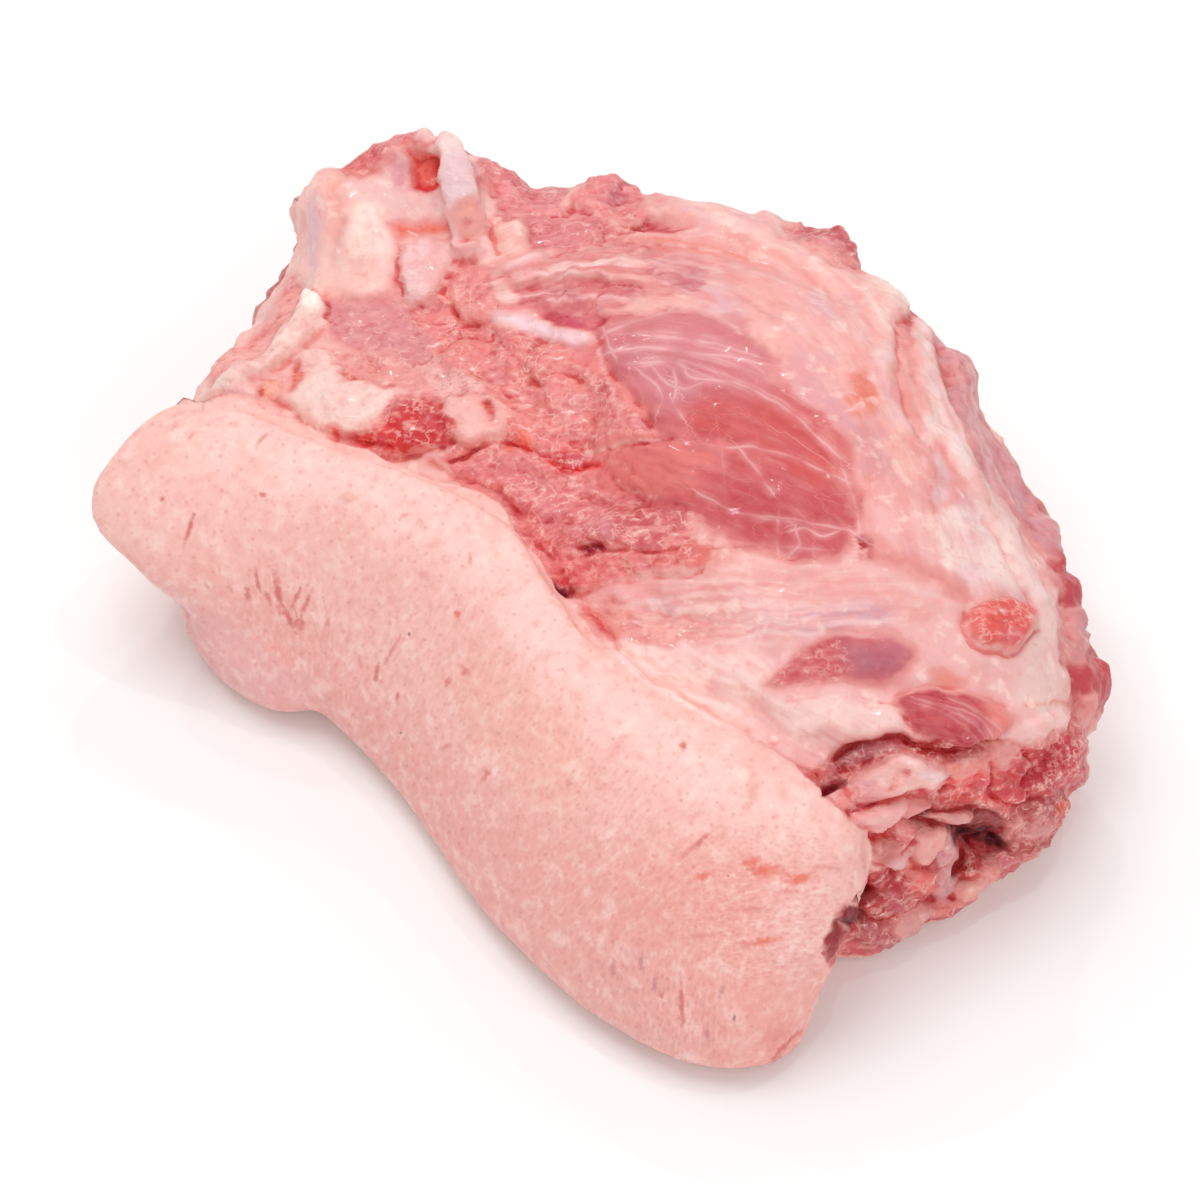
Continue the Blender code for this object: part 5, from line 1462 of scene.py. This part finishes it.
# ---------------------------------------------------------------- the material
class Graph:
    """A short way to write a material's nodes as expressions."""

    def __init__(self, name):
        self.material = bpy.data.materials.new(name)
        self.material.use_nodes = True
        self.tree = self.material.node_tree
        self.tree.nodes.clear()
        self.stored = {}
        self.place = self.add("ShaderNodeTexCoord").outputs["Object"]

    def add(self, kind, **settings):
        node = self.tree.nodes.new(kind)
        for name, value in settings.items():
            setattr(node, name, value)
        return node

    def feed(self, socket, value):
        if isinstance(value, bpy.types.NodeSocket):
            self.tree.links.new(value, socket)
        elif value is not None:
            socket.default_value = value

    def attribute(self, name, output="Fac"):
        """What is stored at the skin's points under a name, read by one node."""
        if name not in self.stored:
            self.stored[name] = self.add("ShaderNodeAttribute", attribute_name=name)
        return self.stored[name].outputs[output]

    def math(self, operation, a, b=None, c=None):
        node = self.add("ShaderNodeMath", operation=operation)
        for socket, value in zip(node.inputs, (a, b, c)):
            self.feed(socket, value)
        return node.outputs[0]

    def total(self, *terms):
        out = terms[0]
        for term in terms[1:]:
            out = self.math("ADD", out, term)
        return out

    def times(self, *factors):
        out = factors[0]
        for factor in factors[1:]:
            out = self.math("MULTIPLY", out, factor)
        return out

    def step(self, x, low, high, start=0.0, end=1.0):
        """A smooth change from start to end, while x goes from low to high."""
        node = self.add("ShaderNodeMapRange", interpolation_type="SMOOTHSTEP")
        for socket, value in zip(node.inputs, (x, low, high, start, end)):
            self.feed(socket, value)
        return node.outputs[0]

    def blend(self, share, a, b, kind="MIX"):
        node = self.add("ShaderNodeMix", data_type="RGBA", blend_type=kind)
        self.feed(node.inputs["Factor"], share)
        self.feed(node.inputs[6], a)
        self.feed(node.inputs[7], b)
        return node.outputs[2]

    def tint(self, colour, strength, shade_over, x, low, high, *masks):
        """A colour with a shade laid over it as x goes from low to high, only where all the masks let it."""
        cover = self.times(*masks, self.step(x, low, high, 0.0, strength))
        return self.blend(cover, colour, shade(shade_over))

    def mixed(self, share, a, b):
        node = self.add("ShaderNodeMix", data_type="FLOAT")
        self.feed(node.inputs["Factor"], share)
        self.feed(node.inputs[2], a)
        self.feed(node.inputs[3], b)
        return node.outputs[0]

    def mapped(self, vector, location=(0, 0, 0), angle=0.0, scale=(1, 1, 1), kind="POINT"):
        node = self.add("ShaderNodeMapping", vector_type=kind)
        self.feed(node.inputs["Vector"], vector)
        node.inputs["Location"].default_value = location
        node.inputs["Rotation"].default_value = (0, 0, math.radians(angle))
        node.inputs["Scale"].default_value = scale
        return node.outputs[0]

    def noise(self, size, vector=None, detail=2.0, roughness=0.5, unit=MM, space="3D"):
        """Noise from -1 to 1, whose features are about size millimetres across."""
        node = self.add("ShaderNodeTexNoise", noise_dimensions=space)
        self.feed(node.inputs["Vector"], vector or self.place)
        node.inputs["Scale"].default_value = 1 / (size * unit)
        node.inputs["Detail"].default_value = detail
        node.inputs["Roughness"].default_value = roughness
        return self.math("MULTIPLY_ADD", node.outputs[0], 2.0, -1.0)

    def cells(self, size, vector):
        """Distance to the middle of the nearest flat cell, whose size is in the vector's unit."""
        node = self.add("ShaderNodeTexVoronoi", voronoi_dimensions="2D")
        self.feed(node.inputs["Vector"], vector)
        node.inputs["Scale"].default_value = 1 / size
        return node.outputs["Distance"]


    def split(self, kind, value):
        """The three parts of a colour or a vector."""
        node = self.add(kind)
        self.feed(node.inputs[0], value)
        return node.outputs

    def surface(self, inputs, **settings):
        """Ends the material in a Principled surface with these inputs."""
        shader = self.add("ShaderNodeBsdfPrincipled", **settings)
        for name, value in inputs.items():
            self.feed(shader.inputs[name], value)
        output = self.add("ShaderNodeOutputMaterial")
        self.feed(output.inputs["Surface"], shader.outputs[0])
        return self.material


def shade(colour):
    """A display colour as a shader colour under the gloss."""
    return (*(linear(colour) * UNDER_GLOSS), 1.0)


# Size along and across of the fibres and the crumbs that the material adds, in millimetres.
FINE_FIBRE, BROAD_FIBRE, CRUMB_GRAIN = (18, 1.5, 5), (30, 4, 9), (3.2, 1.8, 1.8)
# Deep folds are painted darker and redder, mostly as painted shade: how much the lean and the fat are
# multiplied by there.
LEAN_FOLD_SHADE, FAT_FOLD_SHADE = (0.75, 0.2, 0.24, 1.0), (0.88, 0.38, 0.4, 1.0)
# Each of the two sets of strands and its strength.
STRAND_SETS = (("web", 0.55), ("strands", 1.0))


def strand_gap(g, name):
    """How far the nearest strand of silvery skin is, in millimetres."""
    wobble = g.times(g.noise(3.0, detail=0.0), 0.2)
    layers = g.split("ShaderNodeSeparateXYZ", g.attribute(name, "Vector"))
    gaps = [g.math("ABSOLUTE", g.total(layer, wobble)) for layer in layers]
    return g.math("MINIMUM", g.math("MINIMUM", gaps[0], gaps[1]), gaps[2])


def stranded(g, lean):
    """The lean with its strands of silvery skin: a soft halo and a thin line for each."""
    seen = g.attribute("seen")
    fading = g.noise(6.0, detail=0.0)
    for name, strength in STRAND_SETS:
        gap = strand_gap(g, name)
        some = g.step(fading, -0.4, 0.4, 0.1 * strength, 0.38 * strength)
        lean = g.blend(g.times(seen, g.step(gap, 1.9, 0.1), some), lean, shade((234, 170, 170)))
        some = g.step(fading, -0.5, 0.4, 0.02 * strength, 0.42 * strength)
        lean = g.blend(g.times(seen, g.step(gap, 0.5, 0.1), some), lean, shade((244, 200, 197)))
    return lean


def lean_look(g, near_fat, fibre, broad_fibre, crumbs):
    """The lean's colour: blotches, fibres, silvery skin, strands, crumbs with painted shade, highlights and
    glints, and painted shade in deep folds.
    """
    crumb, streak, calm = (g.attribute(name) for name in ("crumb", "streak", "calm"))
    lean = g.attribute("lean_colour", "Color")
    bright = g.step(g.split("ShaderNodeSeparateColor", lean)[0], 0.2, 0.5)
    lean = g.tint(lean, 0.5, (232, 142, 130), g.noise(8.0, detail=3.0), 0.0, 0.5, bright, calm)
    lean = g.tint(lean, 0.55, (188, 62, 72), g.noise(5.0, detail=3.0), 0.0, 0.5, calm)
    lean = g.tint(lean, 0.35, (190, 66, 76), g.noise(2.2, detail=3.0), 0.05, 0.5, calm)
    lean = g.tint(lean, 0.4, (238, 164, 154), g.noise(2.6, detail=3.0), 0.05, 0.5, bright, calm)
    lean = g.tint(lean, 0.5, (214, 138, 150), g.noise(7.0, detail=3.0), 0.0, 0.5, bright, crumb)
    lean = g.tint(lean, 0.4, (190, 72, 80), broad_fibre, 0.0, 0.6, streak)
    lean = g.blend(g.times(near_fat, bright), lean, shade((232, 158, 152)))
    lean = g.tint(lean, 0.35, (226, 160, 164), broad_fibre, -0.2, 0.7, g.attribute("silver"))
    lean = g.tint(lean, 0.4, (236, 166, 162), fibre, 0.1, 0.55, streak)
    lean = g.tint(lean, 0.35, (192, 76, 84), fibre, -0.1, -0.55, streak)
    lean = stranded(g, lean)
    # Painted shade in the crumbs' hollows and a painted highlight on their crests, from the same noise that
    # raises them in the bump.
    lean = g.tint(lean, 0.45, (196, 66, 72), crumbs, -0.1, -0.45, crumb)
    lean = g.tint(lean, 0.5, (243, 178, 168), crumbs, 0.0, 0.26, crumb, bright)
    # Thin pale lines round the crumbs: painted highlights along their wet edges.
    outline = g.step(g.math("ABSOLUTE", g.noise(3.6, detail=2.0)), 0.09, 0.01)
    lean = g.tint(lean, 0.6, (248, 200, 190), g.noise(4.0, detail=0.0), -0.2, 0.3, crumb, bright, outline)
    # Painted glints: small near-white spots on the crumbs' crests.
    glint = g.step(g.noise(5.0, detail=0.0), -0.3, 0.3, 0.05, 0.65)
    glint = g.times(crumb, bright, g.step(crumbs, 0.3, 0.42), glint)
    lean = g.blend(glint, lean, shade((255, 236, 228)))
    # Painted shade: deep folds darker and redder.
    return g.blend(g.step(g.attribute("hollow"), 0.1, 0.8, 0.0, 0.9), lean, LEAN_FOLD_SHADE, "MULTIPLY")


def fat_look(g, near_lean, fibre, broad_fibre):
    """The fat's colour, with its blotches and streaks, and painted shade, darker and redder, in deep folds."""
    streak = g.attribute("streak")
    fat = g.attribute("fat_colour", "Color")
    fat = g.tint(fat, 0.45, (233, 150, 142), g.noise(9.0, detail=3.0), 0.0, 0.5)
    fat = g.tint(fat, 0.55, (220, 168, 182), g.noise(11.0, detail=3.0), 0.0, 0.6)
    fat = g.tint(fat, 0.55, (253, 226, 215), g.noise(4.0, detail=3.0), 0.05, 0.4)
    fat = g.tint(fat, 0.4, (236, 160, 152), g.noise(2.4, detail=3.0), 0.1, 0.4)
    fat = g.tint(fat, 0.6, (232, 146, 142), broad_fibre, 0.0, 0.5, streak)
    fat = g.tint(fat, 0.6, (250, 216, 212), broad_fibre, -0.05, -0.5, streak)
    fat = g.tint(fat, 0.4, (234, 154, 147), fibre, 0.05, 0.5, streak)
    fat = g.tint(fat, 0.35, (253, 228, 219), fibre, -0.1, -0.5, streak)
    fat = g.blend(near_lean, fat, shade((234, 158, 150)))
    # Painted shade: deep folds darker and redder.
    return g.blend(g.step(g.attribute("hollow"), 0.1, 0.8, 0.0, 0.8), fat, FAT_FOLD_SHADE, "MULTIPLY")


def flesh_colours(g):
    """The lean's and the fat's colour, where lean shows, and the fibres and crumbs in them."""
    grain, streak, blur = g.attribute("grain", "Vector"), g.attribute("streak"), g.attribute("blur")
    fibre = g.noise(1.0, g.mapped(grain, scale=[1 / size for size in FINE_FIBRE]), detail=3.0, unit=1.0)
    broad_fibre = g.noise(1.0, g.mapped(grain, scale=[1 / size for size in BROAD_FIBRE]), detail=2.0, unit=1.0)
    oblong = g.mapped(g.place, angle=45, scale=[size * MM for size in CRUMB_GRAIN], kind="TEXTURE")
    crumbs = g.noise(1.0, oblong, detail=3.0, unit=1.0)
    lead = g.total(
        g.attribute("lean"),
        g.times(g.noise(6.5, detail=3.0), g.math("MULTIPLY_ADD", g.attribute("calm"), 0.6, 0.4)),
        g.times(g.noise(2.0, detail=2.0), 0.45),
        g.times(fibre, g.times(streak, 1.2)),
        g.times(broad_fibre, g.times(streak, 1.4)),
    )
    shown = g.step(lead, g.times(blur, -0.9), g.times(blur, 0.8))
    lean = lean_look(g, g.step(lead, 1.6, 0.2, 0.0, 0.35), fibre, broad_fibre, crumbs)
    fat = fat_look(g, g.step(lead, -2.6, -0.2, 0.0, 0.5), fibre, broad_fibre)
    return lean, fat, shown, fibre, crumbs


def ellipse(g, drawing, centre, reach, angle):
    """How far out a point lies in a turned ellipse: 0 in the middle, 1 on its rim."""
    length = g.add("ShaderNodeVectorMath", operation="LENGTH")
    g.feed(length.inputs[0], g.mapped(drawing, (*centre, 0), angle, (*reach, 1), "TEXTURE"))
    return length.outputs["Value"]


def rind_look(g):
    """The rind's colour, with painted shade and light on its mottle and wrinkles, and the height of its mottle,
    in millimetres.
    """
    seen, drawing = g.attribute("seen"), g.attribute("drawing", "Vector")
    colour = g.attribute("rind_colour", "Color")
    colour = g.tint(colour, 0.4, (241, 178, 166), g.noise(14.0), 0.0, 0.5)
    colour = g.tint(colour, 0.5, (255, 226, 216), g.noise(6.0), 0.05, 0.5)
    # The mottle is the rind's own tone, and it follows the bump: darker in its pits and paler on its rises,
    # painting shade and light on them.
    mottle = g.noise(3.4, detail=3.0, roughness=0.6)
    colour = g.tint(colour, 0.42, (233, 160, 151), mottle, 0.0, 0.45)
    colour = g.tint(colour, 0.5, (255, 226, 216), mottle, 0.0, -0.45)
    height = g.total(g.times(mottle, -0.16), g.times(g.noise(9.0, detail=0.0), 0.15))
    for _, centre, reach, angle, fineness, strength in RIND_WRINKLES:
        cover = g.times(seen, g.step(ellipse(g, drawing, centre, reach, angle), 1.0, 0.5))
        along = g.mapped(drawing, (0, 0, 0), angle, (2.6 * fineness, fineness, 1), "TEXTURE")
        lines = g.noise(1.0, along, detail=2.0, unit=1.0, space="2D")
        # Painted shade in the wrinkles' furrows and painted light on their ridges.
        furrow_shade = g.times(cover, g.step(lines, 0.0, 0.6))
        ridge = g.times(cover, g.step(lines, 0.0, -0.5))
        colour = g.blend(g.times(furrow_shade, 0.45 * strength), colour, shade((232, 156, 147)))
        colour = g.blend(g.times(ridge, 0.4 * strength), colour, shade((255, 222, 212)))
    ragged = g.noise(1.4, detail=2.0)
    for _, tint, strength, centre, reach, turn, angle, size in RIND_DASHES:
        cover = g.times(seen, g.step(ellipse(g, drawing, centre, reach, turn), 1.0, 0.5))
        dash = g.cells(1.0, g.mapped(drawing, (0, 0, 0), angle, (*size, 1), "TEXTURE"))
        dash = g.step(g.total(dash, g.times(ragged, 0.2)), 0.42, 0.04)
        colour = g.blend(g.times(cover, dash, strength), colour, shade(tint))
    for layer in range(MARK_LAYERS):
        along, across, strength = g.split("ShaderNodeSeparateXYZ", g.attribute(f"mark_{layer}", "Vector"))
        out = g.math("SQRT", g.total(g.times(along, along), g.times(across, across)))
        edge = g.total(out, g.times(ragged, 0.9))
        cover = g.times(seen, strength, g.step(edge, 1.4, 0.1, 0.0, 0.95))
        colour = g.blend(cover, colour, g.attribute(f"mark_colour_{layer}", "Color"))
    colour = g.tint(colour, 0.08, (222, 146, 136), g.cells(8.0, drawing), 0.3, 0.08)
    colour = g.tint(colour, 0.12, (230, 158, 149), g.noise(1.1, detail=1.0), 0.1, 0.6)
    colour = g.tint(colour, 0.3, (222, 132, 124), g.cells(20.0, drawing), 0.14, 0.04)
    return colour, height


# How deep light goes into the flesh, as a share, by red, green and blue, and in metres, and the gloss.
SUBSURFACE_SHARE, SUBSURFACE_RADII, SUBSURFACE_REACH = 0.25, (1.0, 0.25, 0.15), 1.8 * MM
SPECULAR, COAT_ROUGHNESS, RIND_COAT = 0.12, 0.1, 0.05
FAT_ROUGHNESS, LEAN_ROUGHNESS, RIND_ROUGHNESS, ROUGHNESS_SPREAD = 0.4, 0.32, 0.5, 0.08


def flesh_material():
    """Raw pork: lean, fat and rind in one material, told apart by what is stored at the skin's points."""
    g = Graph("raw_pork_skin")
    crumb, streak, hollow = (g.attribute(name) for name in ("crumb", "streak", "hollow"))
    lean, fat, shown, fibre, crumbs = flesh_colours(g)
    rind_colour, rind_height = rind_look(g)
    rind = g.step(g.total(g.attribute("rind"), g.times(g.noise(1.5, detail=0.0), 0.25)), -0.3, 0.3)

    flesh_rough = g.mixed(shown, FAT_ROUGHNESS, LEAN_ROUGHNESS)
    flesh_rough = g.math("MULTIPLY_ADD", g.noise(5.0, detail=0.0), ROUGHNESS_SPREAD, flesh_rough)

    grains = g.times(crumbs, g.math("MULTIPLY_ADD", crumb, 0.34, 0.04))
    fibres = g.times(fibre, g.times(streak, 0.16))
    height = g.total(grains, fibres, g.times(g.noise(3.5, detail=1.0), 0.14), g.times(shown, -0.12))
    bump = g.add("ShaderNodeBump")
    bump.inputs["Strength"].default_value = 1.0
    bump.inputs["Distance"].default_value = MM
    g.feed(bump.inputs["Height"], g.mixed(rind, height, rind_height))

    facing = g.add("ShaderNodeLayerWeight").outputs["Facing"]
    open_air = g.times(g.step(hollow, 0.0, 0.6, 1.0, 0.1), g.step(facing, 0.6, 0.95, 1.0, 0.2))
    wet = g.times(open_air, g.step(crumb, 0.0, 0.6, 0.12, 0.3))
    return g.surface(
        {
            "Base Color": g.blend(rind, g.blend(shown, fat, lean), rind_colour),
            "Roughness": g.mixed(rind, flesh_rough, RIND_ROUGHNESS),
            "Normal": bump.outputs[0],
            "Subsurface Weight": SUBSURFACE_SHARE,
            "Subsurface Radius": SUBSURFACE_RADII,
            "Subsurface Scale": SUBSURFACE_REACH,
            "Specular IOR Level": SPECULAR,
            "Coat Weight": g.mixed(rind, wet, RIND_COAT),
            "Coat Roughness": COAT_ROUGHNESS,
        },
        subsurface_method="BURLEY",
    )


# ---------------------------------------------------------------- the studio
FLOOR_HALF, FLOOR_COLOUR, FLOOR_ROUGHNESS = 6.0, (252, 252, 252), 0.9
BACKGROUND_STRENGTH = 0.54
# Square soft lights, all turned to the slab: name, place and size in metres, power in watts.
LIGHTS = (
    ("overhead", (-0.35, -0.15, 1.5), 0.9, 8.0),
    ("back", (-0.3, 1.2, 1.0), 0.6, 2.5),
    ("wall_side", (1.1, -0.7, 0.8), 0.8, 4.0),
    ("sparkle_0", (0.1, 0.3, 1.4), 0.03, 0.9),
    ("sparkle_1", (-0.65, 0.65, 1.0), 0.03, 0.9),
    ("sparkle_2", (-1.0, 0.1, 1.0), 0.03, 0.9),
    ("sparkle_3", (1.4, 0.25, 0.4), 0.03, 0.9),
)


def turned(obj, place, direction):
    """Puts a light or the camera at a place, looking against a direction."""
    obj.location = place
    obj.rotation_euler = Vector(direction).to_track_quat("Z", "Y").to_euler()


def studio():
    """The pale floor, the white surroundings, the soft lights and the camera."""
    mesh = bpy.data.meshes.new("floor")
    corners = [(x * FLOOR_HALF, y * FLOOR_HALF, 0.0) for x, y in ((-1, -1), (1, -1), (1, 1), (-1, 1))]
    mesh.from_pydata(corners, [], [(0, 1, 2, 3)])
    white = Graph("floor_white").surface(
        {
            "Base Color": (*linear(FLOOR_COLOUR), 1.0),
            "Roughness": FLOOR_ROUGHNESS,
            "Specular IOR Level": 0.0,
        }
    )
    mesh.materials.append(white)
    floor = placed("floor", mesh)

    world = bpy.data.worlds.new("studio_white")
    world.use_nodes = True
    background = world.node_tree.nodes["Background"]
    background.inputs["Color"].default_value = (1.0, 1.0, 1.0, 1.0)
    background.inputs["Strength"].default_value = BACKGROUND_STRENGTH
    bpy.context.scene.world = world
    for name, place, size, power in LIGHTS:
        light = bpy.data.lights.new(name, "AREA")
        light.size, light.energy = size, power
        turned(placed(name, light), place, place)

    lens = bpy.data.cameras.new("camera")
    lens.lens, lens.sensor_width = LENS, SENSOR
    camera = placed("camera", lens)
    turned(camera, EYE * MM, TOWARDS)
    bpy.context.scene.camera = camera
    bpy.context.scene.view_settings.view_transform = "Standard"


skin = fine_skin(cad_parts["jowl"])
paint_and_sculpt(skin)
skin.data.materials.append(flesh_material())
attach(skin, "root")
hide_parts("jowl")
studio()
